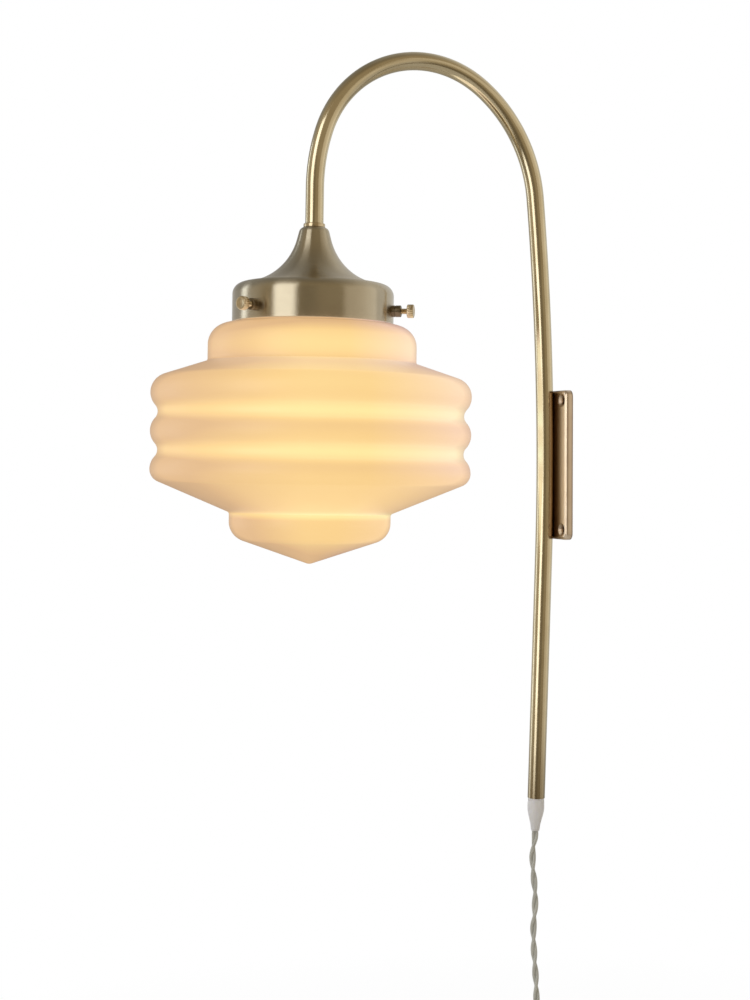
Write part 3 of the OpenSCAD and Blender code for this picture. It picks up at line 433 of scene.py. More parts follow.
# Shade gallery: spun from one sheet of brass, a bell that flares onto a nearly flat, round shoulder and a
# cylindrical wall round the lip of the glass. Its finish is satin, with fine rings from the lathe.
fitter_r, fitter_h, sheet_t, fitter_corner_r = 52.9, 22.8, 1.2, 7.5
flare_n, flare_top, flare_r, bell_neck_r, dome_r, neck_cone = 83.64, 14.59, 39.48, 9.98, 4.2, 5.07
neck_hole_r, roll, hem, gallery_sides = 5.5, 0.55, 2.2, 192
foot_turn, top_turn = math.radians(flare_n), math.radians(flare_top)
flare_x = bell_neck_r + neck_cone * math.sin(top_turn) + flare_r * math.cos(top_turn)
flare_foot = flare_x - flare_r * math.cos(foot_turn)
flare_z = fitter_h + (fitter_r - flare_foot) / math.tan(foot_turn) + flare_r * math.sin(foot_turn)
corner_z = fitter_h - fitter_corner_r / math.sin(foot_turn) + fitter_corner_r / math.tan(foot_turn)
dome_x = bell_neck_r - dome_r * math.cos(top_turn)
dome_z = flare_z - (flare_r + dome_r) * math.sin(top_turn) + neck_cone * math.cos(top_turn)
gallery_h = dome_z + dome_r
bell = [(fitter_r - fitter_corner_r, corner_z, fitter_corner_r, 0, flare_n),
        (flare_x, flare_z, -flare_r, flare_n, flare_top), (dome_x, dome_z, dome_r, flare_top, 90)]


def at_fitter(points):
    """From the frame near the gallery's lower edge, with z = 0 one hem above it, into the lamp's frame."""
    return at_head(points - [0, 0, gallery_h])


gallery_outline = np.concatenate([
    chain([(fitter_r - roll, roll - hem, roll, -90, 0)], step=edge_step), chain(bell),
    [[neck_hole_r, gallery_h], [neck_hole_r, gallery_h - sheet_t]], chain(bell, sheet_t)[::-1],
    chain([(fitter_r - sheet_t + roll, roll - hem, roll, 180, 270)], step=edge_step)])
gallery_wall = at_fitter(turned(gallery_outline, gallery_sides))
shade_gallery = surface_piece("shade_gallery_brass", [(gallery_wall, True, True)])
spun_brass = worked_metal("spun_brass", (0.61, 0.525, 0.37), (0.52, 0.44, 0.30), smooth=0.23, rough=0.28,
                          streak=(0.006, 5.0, 1.0), cloud=0.015, relief=0.05, lathe=1.0)
dress(shade_gallery, "arm", "shade_gallery", spun_brass, "shade_gallery")

# Bushes: three turned sleeves of dark brass, riveted through the gallery's wall and threaded inside for the
# thumb screws. Each has a fine groove round it.
screw_z, screw_r, bush_r, bush_l, bush_sides = 6.0, 2.0, 3.8, 5.8, 48
bush_bore, bush_edge, bush_seat, rivet_r, rivet_in = screw_r + 0.05, 0.6, 0.4, 2.9, 2.2
groove_r, groove_z = bush_r - 0.25, (1.6, 1.8, 2.1, 2.3)
screw_turns = np.radians([57.5, 177.5, 297.5])


def at_screw(points, turn):
    """A piece turned about Z is laid along a radius of the gallery: its z is the distance from the axis."""
    out = np.array([math.cos(turn), math.sin(turn), 0])
    side = np.array([-math.sin(turn), math.cos(turn), 0])
    laid = points[..., 2:] * out + points[..., 1:2] * side - points[..., :1] * [0, 0, 1]
    return at_fitter(laid + [0, 0, screw_z])


bush_outline = [0, fitter_r] + np.concatenate([
    [[bush_bore, -rivet_in], [rivet_r, -rivet_in], [rivet_r, -bush_seat], [bush_r, -bush_seat]],
    np.stack([[bush_r, groove_r, groove_r, bush_r], groove_z], -1),
    chain([(bush_r - bush_edge, bush_l - bush_edge, bush_edge, 0, 90)], step=edge_step),
    [[bush_bore, bush_l]]])
sleeves = [(at_screw(turned(bush_outline, bush_sides), turn), True, True) for turn in screw_turns]
gallery_bushes = surface_piece("gallery_bushes_brass", sleeves)
dark_brass = worked_metal("dark_brass", (0.24, 0.185, 0.11), (0.16, 0.12, 0.07), smooth=0.22, rough=0.36,
                          streak=(0.02, 4.0, 1.0))
dress(gallery_bushes, "arm", "gallery_bushes", dark_brass, "gallery_bushes")

# Thumb screws: turned from rod, with a cut thread on the shank, a waist and a knurled knob with a dished end.
# They are turned in by hand until their tips stand under the lip of the glass.
lip_play, lip_out, tip_play = 2.3, 2.7, 0.3
lip_r = fitter_r - sheet_t - lip_play
glass_neck_r = lip_r - lip_out
head_start, head_r, head_t, screw_sides = fitter_r + bush_l + 4.0, 4.4, 4.4, 120
thread_pitch, thread_d, thread_play, thread_run_out, thread_step = 0.8, 0.38, 0.06, 0.6, 0.1
tip_round, knurl_count, knurl_d, knurl_reach = 0.5, 24, 0.035, 0.3


def fade(value, start, end):
    """Straight step from 0 at start to 1 at end."""
    return np.clip((value - start) / (end - start), 0, 1)


shank = np.arange(glass_neck_r + tip_play, head_start + thread_step / 2, thread_step)
tip = shank[0]
cut = fade(shank, tip, tip + thread_run_out) * fade(shank, head_start, head_start - thread_run_out)
waist = [[2.4, 0.05], [3.3, 0.1]]
knob_rounds = [(head_r - 0.5, 0.6, 0.5, -90, 0), (head_r - 0.8, head_t - 0.8, 0.8, 0, 90)]
dish = [[2.9, head_t], [2.2, head_t - 0.25], [0.0, head_t - 0.4]]
knob = [0, head_start] + np.concatenate([waist, chain(knob_rounds, step=edge_step), dish])
t = np.linspace(0, 2 * np.pi, screw_sides, endpoint=False)[:, None]
wave = np.abs(((shank / thread_pitch - t / (2 * np.pi)) % 1.0) * 2 - 1)
shank_r = (screw_r - thread_play - thread_d * cut * (1 - wave)
           - tip_round * (1 - fade(shank, tip, tip + tip_round)))
knurl = 1 - knurl_d * np.cos(knurl_count * t) ** 2 * (np.abs(knob[:, 0] - head_r) < knurl_reach)
radius = np.concatenate([np.zeros((screw_sides, 1)), shank_r, knob[:, 0] * knurl], 1)
height = np.broadcast_to(np.concatenate([[tip], shank, knob[:, 1]]), radius.shape)
screw_form = np.stack([radius * np.cos(t), radius * np.sin(t), height], -1)
for k, turn in enumerate(screw_turns, 1):
    laid_screw = [(at_screw(screw_form, turn), True, False)]
    thumb_screw = surface_piece(f"thumb_screw_{k}_brass", laid_screw, crease=30)
    dress(thumb_screw, f"thumb_screw_{k}", "thumb_screw", turned_brass, f"thumb_screw_{k}")

# Glass shade: opal glass blown in a mould, with a lip for the screws, a round shoulder, three soft ribs and a
# stepped point. It is lit from inside, so it glows, most in the hollows, where the glass is thin.
glass_t, lip_low, lip_top, lip_edge, lip_step = 3.5, 8.3, 12.9, 1.1, 12
shade_top, neck_fillet, shoulder_r, drum_r, crease_r = -3.0, 4.0, 14.0, 68.4, 2.0
rib_max, rib_r, rib_end_r, rib_pitch, rib_depth, rib_drop, rib_count = 105.0, 12.4, 8.7, 25.0, 4.8, 49.0, 3
upper_n, lower_n, point_n = 71.5, 22.7 - 90, 18.9 - 90
step_x, step_h, step_r, point_r = 53.1, 4.6, 13.2, 6.0
shade_sides, outside_step, inside_step = 180, 3.0, 8.0


def cone_crease(r, centre_r, centre_z, radius, normal):
    """Height of a crease beside radius r whose cone also touches a round stretch: the two centres lie equally
    far from the cone along its normal, less their radii."""
    a = math.radians(normal)
    return centre_z + (radius + crease_r - (r + crease_r - centre_r) * math.cos(a)) / math.sin(a)


def even_steps(outline, step):
    """The same outline with a point at least every step, so that long straight stretches carry points too."""
    gaps = np.maximum(1, np.ceil(np.linalg.norm(np.diff(outline, axis=0), axis=1) / step)).astype(int)
    s = np.concatenate([np.arange(n) / n + k for k, n in enumerate(gaps)] + [[len(outline) - 1.0]])
    return np.stack([np.interp(s, np.arange(len(outline)), c) for c in outline.T], -1)


half = rib_pitch / 2
rib_sum = (rib_depth ** 2 + half ** 2) / (2 * rib_depth)
rib_turn = math.degrees(math.asin(half / rib_sum))
rib_z = -rib_drop - rib_pitch * np.arange(rib_count)
crease_z = cone_crease(drum_r, rib_max - rib_r, rib_z[0], rib_r, upper_n)
step_z = cone_crease(step_x, rib_max - rib_end_r, rib_z[-1], rib_end_r, lower_n)
point_turn = math.radians(point_n)
point_rise = ((step_x - step_r) * math.cos(point_turn) + step_r - point_r) / math.sin(point_turn)
point_z = step_z - step_h + point_rise
ribs = [(rib_max - rib_r, rib_z[0], rib_r, upper_n, -rib_turn)]
for z in rib_z[1:]:
    ribs.append((rib_max - rib_depth + rib_sum - rib_r, z + half, rib_r - rib_sum, -rib_turn, rib_turn))
    ribs.append((rib_max - rib_r, z, rib_r, rib_turn, 0 if z == rib_z[-1] else -rib_turn))
shade = [(glass_neck_r + neck_fillet, shade_top + neck_fillet, -neck_fillet, 0, 90),
         (drum_r - shoulder_r, shade_top - shoulder_r, shoulder_r, 90, 0),
         (drum_r + crease_r, crease_z, -crease_r, 0, upper_n), *ribs,
         (rib_max - rib_end_r, rib_z[-1], rib_end_r, 0, lower_n),
         (step_x + crease_r, step_z, -crease_r, lower_n, 0),
         (step_x - step_r, step_z - step_h, step_r, 0, point_n), (0.0, point_z, point_r, point_n, -90)]
lip = chain([(lip_r - lip_edge, lip_top - lip_edge, lip_edge, 90, 0),
             (lip_r - lip_edge, lip_low + lip_edge, lip_edge, 0, -90),
             (glass_neck_r + lip_edge, lip_low - lip_edge, -lip_edge, -90, 0)], step=lip_step)
outside = np.concatenate([lip, chain(shade)])
outside[-1, 0] = 0.0
inside = np.concatenate([chain(shade, glass_t)[::-1], [[glass_neck_r - glass_t, lip_top]], lip[:1]])
inside[0, 0] = 0.0
walls = [(at_fitter(turned(even_steps(outline, step), shade_sides)), True, False)
         for outline, step in ((outside, outside_step), (inside, inside_step))]
glass_shade = surface_piece("glass_shade_opal", walls, crease=60)

# How much the glass glows, from 0 to 1: bands of a share, a height, a width and the radius they start from.
even_glow, everywhere, rib_side = 0.5, -1.0, 85.0
# The band of negative share 4.5 below the crease at the drum's foot is a painted shadow line.
glow_bands = [(0.55, step_z + 1.0, 1.7, 45.0), (0.2, -19.0, 7.0, everywhere),
              (-0.26, crease_z - 4.5, 4.0, everywhere), (0.08, -45.0, 7.0, everywhere)]
for z in rib_z[:-1] - half:
    glow_bands += [(0.5, z, 5.0, rib_side), (-0.13, z - 9.0, 4.0, rib_side)]
# It is dimmer at the neck, as painted shade under the gallery, at the point, and at the front, as painted
# shade on the side away from the wall, and lighter on the side of the wall, as painted light thrown back from
# the wall: shares, and the heights and directions between which they grow.
neck_dim, neck_dim_from, neck_dim_full = 0.75, -11.5, -2.5
point_dim, point_dim_from, point_dim_full = 0.5, -142.0, -154.0
front_dim, front_dim_from, front_dim_power = 0.6, 0.35, 1.5
wall_light_most, wall_light_least, wall_light_from, wall_light_full, axis_reach = 0.65, 0.35, -122.0, -96.0, 25.0
spots = np.empty(len(glass_shade.data.vertices) * 3)
glass_shade.data.vertices.foreach_get("co", spots)
local = (spots.reshape(-1, 3) / mm - [0, head_y, head_z]) @ leaning(head_lean)
from_axis, h = np.hypot(local[:, 0], local[:, 1]), local[:, 2] + gallery_h
towards_wall = local[:, 1] / np.maximum(from_axis, axis_reach)
glow = np.full(len(h), even_glow)
for share, centre, width, start in glow_bands:
    glow += share * np.exp(-((h - centre) / width) ** 2) * (from_axis > start)
glow -= neck_dim * fade(h, neck_dim_from, neck_dim_full)
glow -= point_dim * fade(h, point_dim_from, point_dim_full)
glow -= front_dim * fade(-towards_wall, front_dim_from, 1.0) ** front_dim_power
paler = np.clip(towards_wall, 0, wall_light_most) * np.maximum(fade(h, wall_light_from, wall_light_full), wall_light_least)
for name, values in (("glow", np.clip(glow, 0, 1)), ("paler", paler)):
    glass_shade.data.attributes.new(name, "FLOAT", "POINT").data.foreach_set("value", values)


def lit_opal():
    """Opal glass: a pale, glossy body with its own warm light, whose tone follows the glow in the glass and
    slow cloudiness from the melt. It is lighter towards the wall, as painted light thrown back from the wall,
    and darker at its limb, where the way through the glass is long, and the light that it throws on other
    pieces has a tone of its own."""
    material, shader, add = new_material("lit_opal")
    place = add.place()
    cloud = add.math("MULTIPLY_ADD", add.noise(place, scale=9.0, detail=3.0), 0.24, -0.12)
    level = add.math("ADD", add.attribute("glow"), cloud, clamp=True)
    light = add.tones(level, (0.0, (0.60, 0.35, 0.14)), (0.5, (0.83, 0.54, 0.19)), (1.0, (0.92, 0.73, 0.29)))
    ray = add("ShaderNodeLightPath").outputs
    thrown = add.math("MAXIMUM", ray["Is Glossy Ray"], ray["Is Diffuse Ray"])
    thrown_tone = add.blend(ray["Is Glossy Ray"], (0.6, 0.85, 1.9, 1), (1.3, 1.9, 4.2, 1))
    light = add.blend(thrown, light, thrown_tone, "MULTIPLY")
    # Painted light: a pale light thrown back from the wall, added to the glow on the wall's side.
    light = add.blend(add.attribute("paler"), light, (0.0, 0.03, 0.26, 1), "ADD")
    grazing = add("ShaderNodeLayerWeight", Blend=0.5).outputs["Facing"]
    light = add.blend(add.span(grazing, 0.68, 1.0), light, (0.50, 0.45, 0.44, 1), "MULTIPLY")
    gloss = add.span(add.noise(place, scale=60.0, detail=2.0), 0.0, 1.0, 0.4, 0.46)
    waves = add.noise(place, scale=22.0, detail=1.0)
    add.fill(shader, Base_Color=add.blend(level, (0.32, 0.275, 0.235, 1), (0.25, 0.22, 0.18, 1)),
             Emission_Color=light, Emission_Strength=1.0, Roughness=gloss,
             Normal=add.bump(waves, strength=0.03, distance=0.002))
    return material


dress(glass_shade, "arm", "glass_shade", lit_opal(), "glass_shade")

# Lamp holder: inside the bell a threaded nipple, washer and lock nut clamp the bell to the tube, and a
# moulded holder with a porcelain core hangs below them. These are plain made parts, shown as their solids.
zinc_steel = worked_metal("zinc_steel", (0.62, 0.62, 0.64), (0.48, 0.48, 0.50), smooth=0.22, rough=0.4,
                          streak=(0.5, 0.5, 4.0), cloud=0.2, uv=False)
contact_brass = worked_metal("contact_brass", (0.76, 0.62, 0.38), (0.60, 0.46, 0.26), smooth=0.2, rough=0.36,
                             streak=(1.0, 1.0, 1.0), cloud=0.2, uv=False)


def grain_group():
    """Moulded or fired surface: fine grain for the relief and roughness, slow unevenness for the tone."""
    tree, add, given, result = group_of(
        "fine_grain",
        [("Place", "NodeSocketVector", None), ("Light", "NodeSocketColor", None),
         ("Dark", "NodeSocketColor", None), ("Grain", "NodeSocketFloat", 900.0),
         ("Smooth", "NodeSocketFloat", 0.35), ("Rough", "NodeSocketFloat", 0.5)],
        [("Color", "NodeSocketColor"), ("Roughness", "NodeSocketFloat"), ("Relief", "NodeSocketFloat")])
    grain = add.noise(given["Place"], scale=given["Grain"], detail=2.0)
    slow = add.noise(given["Place"], scale=45.0, detail=3.0)
    add.fill(result, Color=add.blend(slow, given["Light"], given["Dark"]),
             Roughness=add.span(grain, 0.3, 0.7, given["Smooth"], given["Rough"]), Relief=grain)
    return tree


fine_grain = grain_group()
grain_depth = 0.0004


def grained(name, light, dark, smooth, rough, grain=900.0, relief=0.12):
    """A moulded or fired material with the shared grain."""
    material, shader, add = new_material(name)
    finish = add("ShaderNodeGroup", {"node_tree": fine_grain}, Place=add.place(), Light=light + (1,),
                 Dark=dark + (1,), Grain=grain, Smooth=smooth, Rough=rough).outputs
    add.fill(shader, Base_Color=finish["Color"], Roughness=finish["Roughness"],
             Normal=add.bump(finish["Relief"], relief, grain_depth))
    return material


def finish_node(material, *nodes):
    """Puts a material on solids that are shown as they are."""
    for name in nodes:
        slots = part[name].data.materials
        slots.clear()
        slots.append(material)


dark_plastic = grained("dark_plastic", (0.060, 0.048, 0.040), (0.042, 0.034, 0.029), smooth=0.34, rough=0.5)
porcelain = grained("porcelain", (0.86, 0.83, 0.76), (0.78, 0.74, 0.66), smooth=0.3, rough=0.5, grain=400.0)
finish_node(zinc_steel, "threaded_nipple", "nipple_washer", "lock_nut", "bulb_cap", "bulb_tip")
finish_node(dark_plastic, "holder_cap", "holder_body")
finish_node(porcelain, "holder_insert")
finish_node(contact_brass, "terminal_screws", "holder_shell", "holder_contact")


# Bulb: a frosted globe of glass on a pressed screw cap, hidden by the shade that it lights. It is screwed
# into the lamp holder, and is shown as its solids.
def frosted_bulb():
    """Frosted glass with a light of its own, finely uneven."""
    material, shader, add = new_material("frosted_bulb")
    frost = add.noise(add.place(), scale=300.0, detail=2.0)
    tone = add.tones(frost, (0.0, (0.92, 0.86, 0.74)), (1.0, (1.0, 0.95, 0.84)))
    add.fill(shader, Base_Color=tone, Emission_Color=tone, Emission_Strength=1.5, Roughness=0.45)
    return material


finish_node(frosted_bulb(), "bulb_globe")

# Gland: a soft sleeve of milky plastic, pushed into the tube's foot. It swells to the tube's width and tapers
# down onto the cord, which it keeps from chafing and from kinking.
cord_r, gland_h, gland_in, gland_sides = 2.3, 23.0, 10.0, 64
stem_r, stem_edge, gland_bore = tube_r - tube_wall - 0.05, (0.6, 1.0), cord_r + 0.05


def at_foot(points):
    """From the frame at the tube's lower end, z = 0 at its end face and rising, into the lamp's frame."""
    return points @ leaning(-foot_lean).T + [0, foot_y, foot_z]


def soft_line(points, step):
    """A smooth line through points: cubic Hermite pieces whose slopes are the chords of their neighbours."""
    points = np.asarray(points, float)
    s = np.concatenate([[0], np.cumsum(np.linalg.norm(np.diff(points, axis=0), axis=1))])
    slope = np.gradient(points, s, axis=0)
    at = np.linspace(0, s[-1], max(2, int(s[-1] / step) + 1))
    k = np.clip(np.searchsorted(s, at, side="right") - 1, 0, len(s) - 2)
    gap, f = (s[k + 1] - s[k])[:, None], ((at - s[k]) / (s[k + 1] - s[k]))[:, None]
    return (points[k] * (2 * f**3 - 3 * f**2 + 1) + points[k + 1] * (3 * f**2 - 2 * f**3)
            + gap * (slope[k] * (f**3 - 2 * f**2 + f) + slope[k + 1] * (f**3 - f**2)))


belly = soft_line([[5.5, 0], [5.7, -2.5], [5.75, -8], [5.2, -11.5], [4.3, -15], [3.45, -18.6], [3.0, -22],
                   [2.8, -gland_h]], step=0.5)
gland_outline = np.concatenate([[[gland_bore, gland_in], [stem_r - stem_edge[0], gland_in],
                                 [stem_r, gland_in - stem_edge[1]], [stem_r, 0]],
                                belly, [[gland_bore, -gland_h]]])
cord_gland = surface_piece("cord_gland_sleeve", [(at_foot(turned(gland_outline, gland_sides)), True, True)])


def milky_plastic():
    """Soft plastic that lets some light through: faint flow streaks, no metal, a dull skin."""
    material, shader, add = new_material("milky_plastic")
    drawn_out = add.vector("MULTIPLY", add.place(), (300.0, 300.0, 60.0))
    flow = add.noise(drawn_out, scale=1.0, detail=3.0)
    tone = add.tones(flow, (0.3, (0.90, 0.89, 0.89)), (0.7, (0.97, 0.965, 0.965)))
    add.fill(shader, Base_Color=tone, Roughness=0.42, Subsurface_Weight=0.35,
             Subsurface_Radius=(0.004, 0.004, 0.0035), Subsurface_Scale=1.0)
    return material


dress(cord_gland, "arm", "cord_gland", milky_plastic(), "cord_gland")

# Cord: two strands in a grey braid, twisted together. It runs up inside the tube, and below the gland it
# hangs freely down the wall to a small hand switch.
twist, strand_r, strand_sides, cord_y = 33.0, 1.15, 10, -16.0
switch_top, switch_l, entry_in = -384.0, 56.0, 3.0
switch_low = switch_top - switch_l
cord_exit = at_foot(np.array([0.0, 0.0, -gland_h]))
below_exit = at_foot(np.array([0.0, 0.0, -gland_h - 2 * cord_r]))
hanging = soft_line([cord_exit, below_exit, [0, -19.1, -268], [0, -19.3, -279], [0, -18.2, -290],
                     [0, -17.3, -301], [0, -17.6, -312], [0, -18.6, -323], [0, -18.4, -334],
                     [0, -17.8, -345], [0, -16.9, -356], [0, -16.3, -367],
                     [0, cord_y, switch_top + 2 * cord_r], [0, cord_y, switch_top - entry_in]], step=1.2)


def crossways(line, side):
    """Two unit vectors square to a line at each point: U = side x T and V = T x U, with T along the line."""
    t = np.gradient(line, axis=0)
    t /= np.linalg.norm(t, axis=1)[:, None]
    u = np.cross(side, t)
    u /= np.linalg.norm(u, axis=1)[:, None]
    return u, np.cross(t, u)


def strands(route, side):
    """Two strands round a route: route + a (cos w U + sin w V), w turning once each twist, U and V square to
    the route. Each strand is a tube of rings square to its own line, closed by a point at each end."""
    tubes = []
    u, v = crossways(route, side)
    s = np.concatenate([[0], np.cumsum(np.linalg.norm(np.diff(route, axis=0), axis=1))])
    ring = np.linspace(0, 2 * np.pi, strand_sides, endpoint=False)[:, None]
    for phase in (0.0, np.pi):
        w = (2 * np.pi * s / twist + phase)[:, None]
        core = route + strand_r * (np.cos(w) * u + np.sin(w) * v)
        across, over = crossways(core, side)
        rings = core[:, None] + strand_r * (np.cos(ring) * across[:, None] + np.sin(ring) * over[:, None])
        first, last = [np.broadcast_to(core[k], (1, strand_sides, 3)) for k in (0, -1)]
        tubes.append((np.concatenate([first, rings, last]), False, True))
    return tubes


threads_along, threads_round = 3.6, 4.35


def braided_textile():
    """Braid on the strand's own map, in millimetres: two families of threads cross on slants, and the one on
    top at a place sets the relief and the tone, which is darker between the threads as painted shade. Dust
    greys it unevenly."""
    material, shader, add = new_material("braided_textile")
    parts = add("ShaderNodeSeparateXYZ", Vector=add("ShaderNodeTexCoord").outputs["UV"]).outputs
    along = add.math("MULTIPLY", parts["X"], threads_along)
    waves = [add.math("SINE", add.math("MULTIPLY_ADD", parts["Y"], way * threads_round, along))
             for way in (1.0, -1.0)]
    relief = add.span(add.math("MAXIMUM", *waves), -1.0, 1.0)
    dust = add.noise(add.place(), scale=140.0, detail=4.0)
    # Painted shade: the tone is darker where the relief is low, between the threads.
    level = add.math("MULTIPLY", add.math("MULTIPLY_ADD", dust, 0.5, relief), 0.66)
    tone = add.tones(level, (0.2, (0.33, 0.335, 0.30)), (0.85, (0.82, 0.825, 0.76)))
    add.fill(shader, Base_Color=tone, Roughness=0.8, Sheen_Weight=0.25,
             Normal=add.bump(relief, strength=0.5, distance=0.0003))
    return material


textile = braided_textile()
hanging_cord = surface_piece("cord_hanging_strands", strands(hanging, np.array([1.0, 0, 0])), crease=80)
dress(hanging_cord, "arm", "cord", textile, "cord_hanging")
lead_covering = grained("lead_covering", (0.50, 0.48, 0.40), (0.40, 0.38, 0.31), smooth=0.7, rough=0.9,
                        grain=1500.0)
finish_node(lead_covering, "inner_leads")

# Hand switch: two moulded shells screwed together round the cord, with a rocker in the cover's window and two
# brass strips inside. It is shown as its solids are, in dark plastic with a fine grain.
smooth_plastic = grained("smooth_plastic", (0.050, 0.041, 0.035), (0.040, 0.033, 0.028), smooth=0.22,
                         rough=0.3, grain=2000.0, relief=0.03)
finish_node(dark_plastic, "switch_base", "switch_cover")
finish_node(smooth_plastic, "switch_rocker")
finish_node(contact_brass, "switch_contacts")
finish_node(zinc_steel, "switch_screws")

# Hank: the rest of the cord, folded up as it is sold, down its own middle and then round and round in two
# layers. A strap draws its waist in, and its last end hangs beside it with the plug.
hank_run, hank_in, hank_step, hank_layer, hank_draw = 82.0, 16.0, 5.6, 5.2, 6.0
hank_top, hank_first, hank_mid, hank_last = switch_low - 35.0, 0.5, 2.625, 5.0
layer_turns, layer_change = (0.5, 2.5), 0.25
plug_out, plug_drop, plug_lead, tail_start = 13.0, 36.0, 4.6, 1.0
lead_points, fold_points, loop_points = 90, 24, 720


def ramp(t, a, b):
    """Smooth step from 0 at a to 1 at b: f f (3 - 2 f)."""
    f = fade(t, a, b)
    return f * f * (3 - 2 * f)


def hank_width(t):
    """Half the width of the loops at turn t: least at the middle, and a step more for each turn from it."""
    return hank_in + hank_step * np.abs(t - hank_mid)


def hank_line(t):
    """Points of the loops at turn t. A turn's quarters go down the left run, round the lower fold, up the
    right run and round the upper fold; the tie draws each run in by sin^2 at its middle."""
    quarter, f, w = np.floor(4 * (t % 1)), 4 * (t % 1) % 1, hank_width(t)
    drawn = w - hank_draw * np.sin(np.pi * f) ** 2
    across, beyond = w * np.cos(np.pi * f), w * np.sin(np.pi * f)
    quarters = [quarter == 0, quarter == 1, quarter == 2]
    x = np.select(quarters, [-drawn, -across, drawn], across)
    z = np.select(quarters, [-hank_run * f, -hank_run - beyond, -hank_run * (1 - f)], beyond)
    y = cord_y - hank_layer * sum(ramp(t, start, start + layer_change) for start in layer_turns)
    return np.stack([x, y, hank_top + z], -1)


foot = hank_top - hank_run
lead_top, first_fold = switch_low + entry_in, hank_width(np.array(hank_first)) / 2
lead = np.linspace(lead_top, foot, lead_points, endpoint=False)
turn_in = np.pi * (1 + np.linspace(0, 1, fold_points, endpoint=False))
fold = np.stack([first_fold * (1 + np.cos(turn_in)), 0 * turn_in + cord_y,
                 foot + first_fold * np.sin(turn_in)], -1)
loops = hank_line(np.linspace(hank_first, hank_last, loop_points))
bend_out = np.array([[0.13, 0, 0.3], [0.38, 0, 0.46], [0.7, 0, 0.61], [0.92, 0, 0.75]])
drop = np.concatenate([[[0, 0, 0], [0, 0, plug_lead]], bend_out * [plug_out, 0, plug_drop],
                       [[plug_out, 0, plug_drop - plug_lead], [plug_out, 0, plug_drop]]])
tail = soft_line(loops[-1] - [0, 0, tail_start] - drop, step=1.8)
hank = np.concatenate([np.stack([0 * lead, 0 * lead + cord_y, lead], -1), fold, loops, tail])
hank_cord = surface_piece("cord_hank_strands", strands(hank, np.array([0, 1.0, 0])), crease=80)
dress(hank_cord, "arm", "cord", textile, "cord_hank", "cord_tail")
finish_node(dark_plastic, "hank_tie")

# Plug: a moulded grip and its ribbed sleeve on the end of the cord, with two flat brass blades. It is moulded
# onto the cord, and is shown as its solids.
finish_node(dark_plastic, "plug_body", "plug_sleeve")
finish_node(contact_brass, "plug_blades")

# Studio: a pale floor below the lamp, a white surround, a tall soft light to the camera's left, a narrow one
# past it and a wide one to its right. The camera's side, the ceiling and the ground are dimmer, as in a room.
view_turn, view_rise = math.radians(68.0), math.radians(1.432)
to_camera = Vector((math.sin(view_turn) * math.cos(view_rise), -math.cos(view_turn) * math.cos(view_rise),
                    math.sin(view_rise)))
to_right = Vector((math.cos(view_turn), math.sin(view_turn), 0.0))
floor_r, floor_z, floor_rings, floor_sides = 1400, -640.0, 30, 48
white = (1.0, 1.0, 1.0, 1.0)


def floor_finish():
    """Pale matt floor that the camera sees as near white, and as quite white at its edge, with the shadow
    still on it."""
    material, shader, add = new_material("pale_floor")
    place = add.place()
    speck = add.noise(place, scale=6.0, detail=2.0)
    tone = add.tones(speck, (0.0, (0.86, 0.86, 0.85)), (1.0, (0.88, 0.88, 0.87)))
    add.fill(shader, Base_Color=tone, Roughness=0.9)
    pale = add.span(add.vector("LENGTH", place, result="Value"), 0.5, 1.2, 0.9, 1.0)
    share = add.math("MULTIPLY", add("ShaderNodeLightPath").outputs["Is Camera Ray"], pale)
    shine = add("ShaderNodeEmission", Color=white, Strength=1.0)
    mix = add("ShaderNodeMixShader", _0=share, _1=shader.outputs["BSDF"], _2=shine.outputs["Emission"])
    add.fill(material.node_tree.nodes["Material Output"], Surface=mix.outputs["Shader"])
    return material


r, t = np.meshgrid(np.linspace(0, floor_r, floor_rings),
                   np.linspace(0, 2 * np.pi, floor_sides, endpoint=False), indexing="ij")
disc = np.stack([r * np.cos(t), r * np.sin(t), 0 * r + floor_z], -1)
floor = surface_piece("floor", [(disc, False, True)])
floor.data.materials.append(floor_finish())
aim = Vector((0, -0.1, 0.02))


def soft_light(name, angle, rise, distance, width, height, power, tone=(1, 1, 1)):
    """A soft box: angle is counted from the camera's side towards its right, seen from the lamp."""
    a, e = math.radians(angle), math.radians(rise)
    way = (to_camera * math.cos(a) + to_right * math.sin(a)) * math.cos(e) + Vector((0, 0, math.sin(e)))
    lamp = bpy.data.lights.new(name, "AREA")
    lamp.shape, lamp.size, lamp.size_y, lamp.energy, lamp.color = "RECTANGLE", width, height, power, tone
    box = bpy.data.objects.new(name, lamp)
    box.location = aim + way * distance
    box.rotation_euler = (-way).to_track_quat("-Z", "Y").to_euler()
    bpy.context.scene.collection.objects.link(box)


soft_light("tall_soft_box", angle=-40, rise=12, distance=1.7, width=0.95, height=1.9, power=8.3,
           tone=(0.95, 1.0, 1.1))
soft_light("side_soft_box", angle=74, rise=8, distance=1.9, width=2.1, height=2.1, power=3.8)
soft_light("edge_soft_box", angle=-110, rise=4, distance=1.9, width=0.4, height=1.8, power=2.6,
           tone=(0.9, 1.0, 1.15))

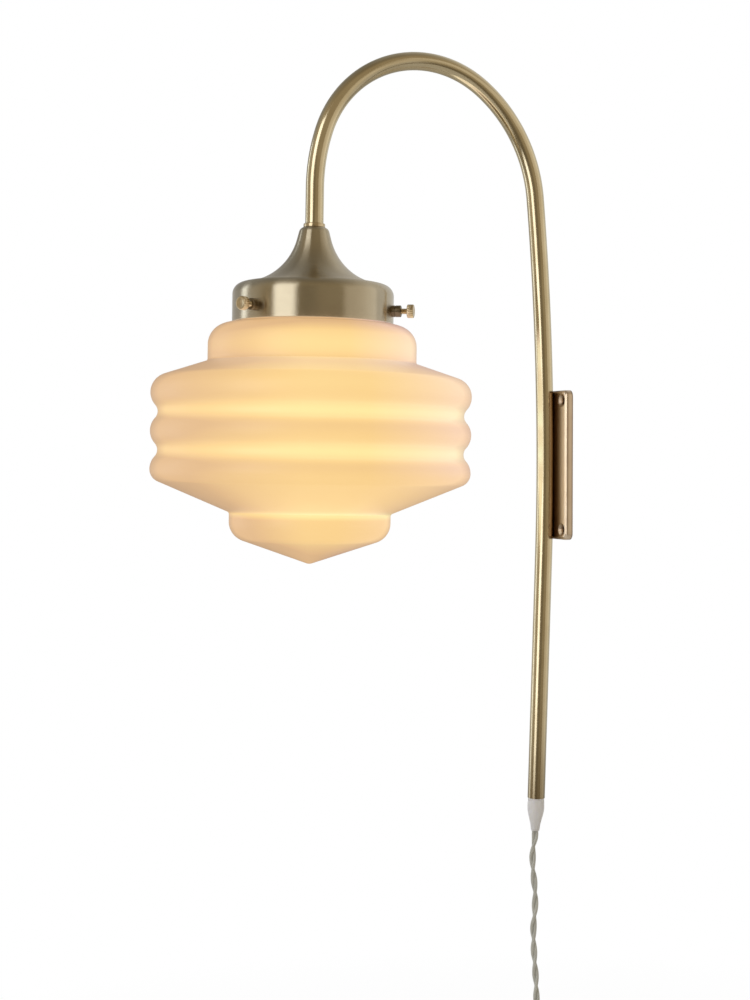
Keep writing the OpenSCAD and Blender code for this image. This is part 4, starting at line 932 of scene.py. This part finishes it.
world = bpy.data.worlds.new("white_surround")
bpy.context.scene.world = world
world.use_nodes = True
sky = Wiring(world.node_tree)
direction = sky("ShaderNodeTexCoord").outputs["Generated"]
away = sky.vector("DOT_PRODUCT", direction, tuple(-to_camera), result="Value")
far_side = sky.span(away, -0.6, 0.5, kind="SMOOTHSTEP")
up = sky("ShaderNodeSeparateXYZ", Vector=direction).outputs["Z"]
ceiling = sky.span(up, 0.7, 0.97, to_low=1.0, to_high=0.5)
ground = sky.span(up, -0.26, -0.08, to_low=0.5, to_high=1.0)
level = sky.span(far_side, 0.0, 1.0, to_low=0.33, to_high=0.66)
level = sky.math("MULTIPLY", sky.math("MULTIPLY", level, ceiling), ground)


def dim_patch(light, way, reach, share):
    """Surroundings with a soft dark patch round the way, reach degrees to its rim, that keeps a share of the
    light."""
    near = sky.vector("DOT_PRODUCT", direction, tuple(way.normalized()), result="Value")
    rim_level = math.cos(math.radians(reach))
    return sky.math("MULTIPLY", light, sky.span(near, rim_level, 1.0, 1.0, share, kind="SMOOTHSTEP"))


beside_camera = to_camera - 0.12 * to_right
far_corner = -to_camera - to_right + Vector((0, 0, 1.1))
level = dim_patch(level, beside_camera, reach=24, share=0.6)
level = dim_patch(level, far_corner, reach=55, share=0.45)
rays = sky("ShaderNodeLightPath").outputs
seen = sky.math("MAXIMUM", rays["Is Camera Ray"], rays["Is Transmission Ray"])
strength = sky("ShaderNodeMix", {"data_type": "FLOAT"}, Factor=seen, _2=level, _3=1.0).outputs[0]
tint = sky.blend(far_side, (1.0, 0.84, 0.59, 1), white)
sky.fill(world.node_tree.nodes["Background"], Strength=strength, Color=sky.blend(seen, tint, white))

# Camera: a long lens at the height of the wall plate, some way round to the lamp's right. It looks level, but
# for a degree and a half downwards.
camera_place, lens_length, sensor_width = (1.0396, -0.5580, 0.0049), 60.48, 36.0
lens = bpy.data.cameras.new("camera")
lens.lens, lens.sensor_width, lens.sensor_fit = lens_length, sensor_width, "AUTO"
camera = bpy.data.objects.new("camera", lens)
camera.location = camera_place
camera.rotation_euler = (-to_camera).to_track_quat("-Z", "Y").to_euler()
bpy.context.scene.collection.objects.link(camera)
bpy.context.scene.camera = camera
bpy.context.scene.view_settings.view_transform = "Standard"
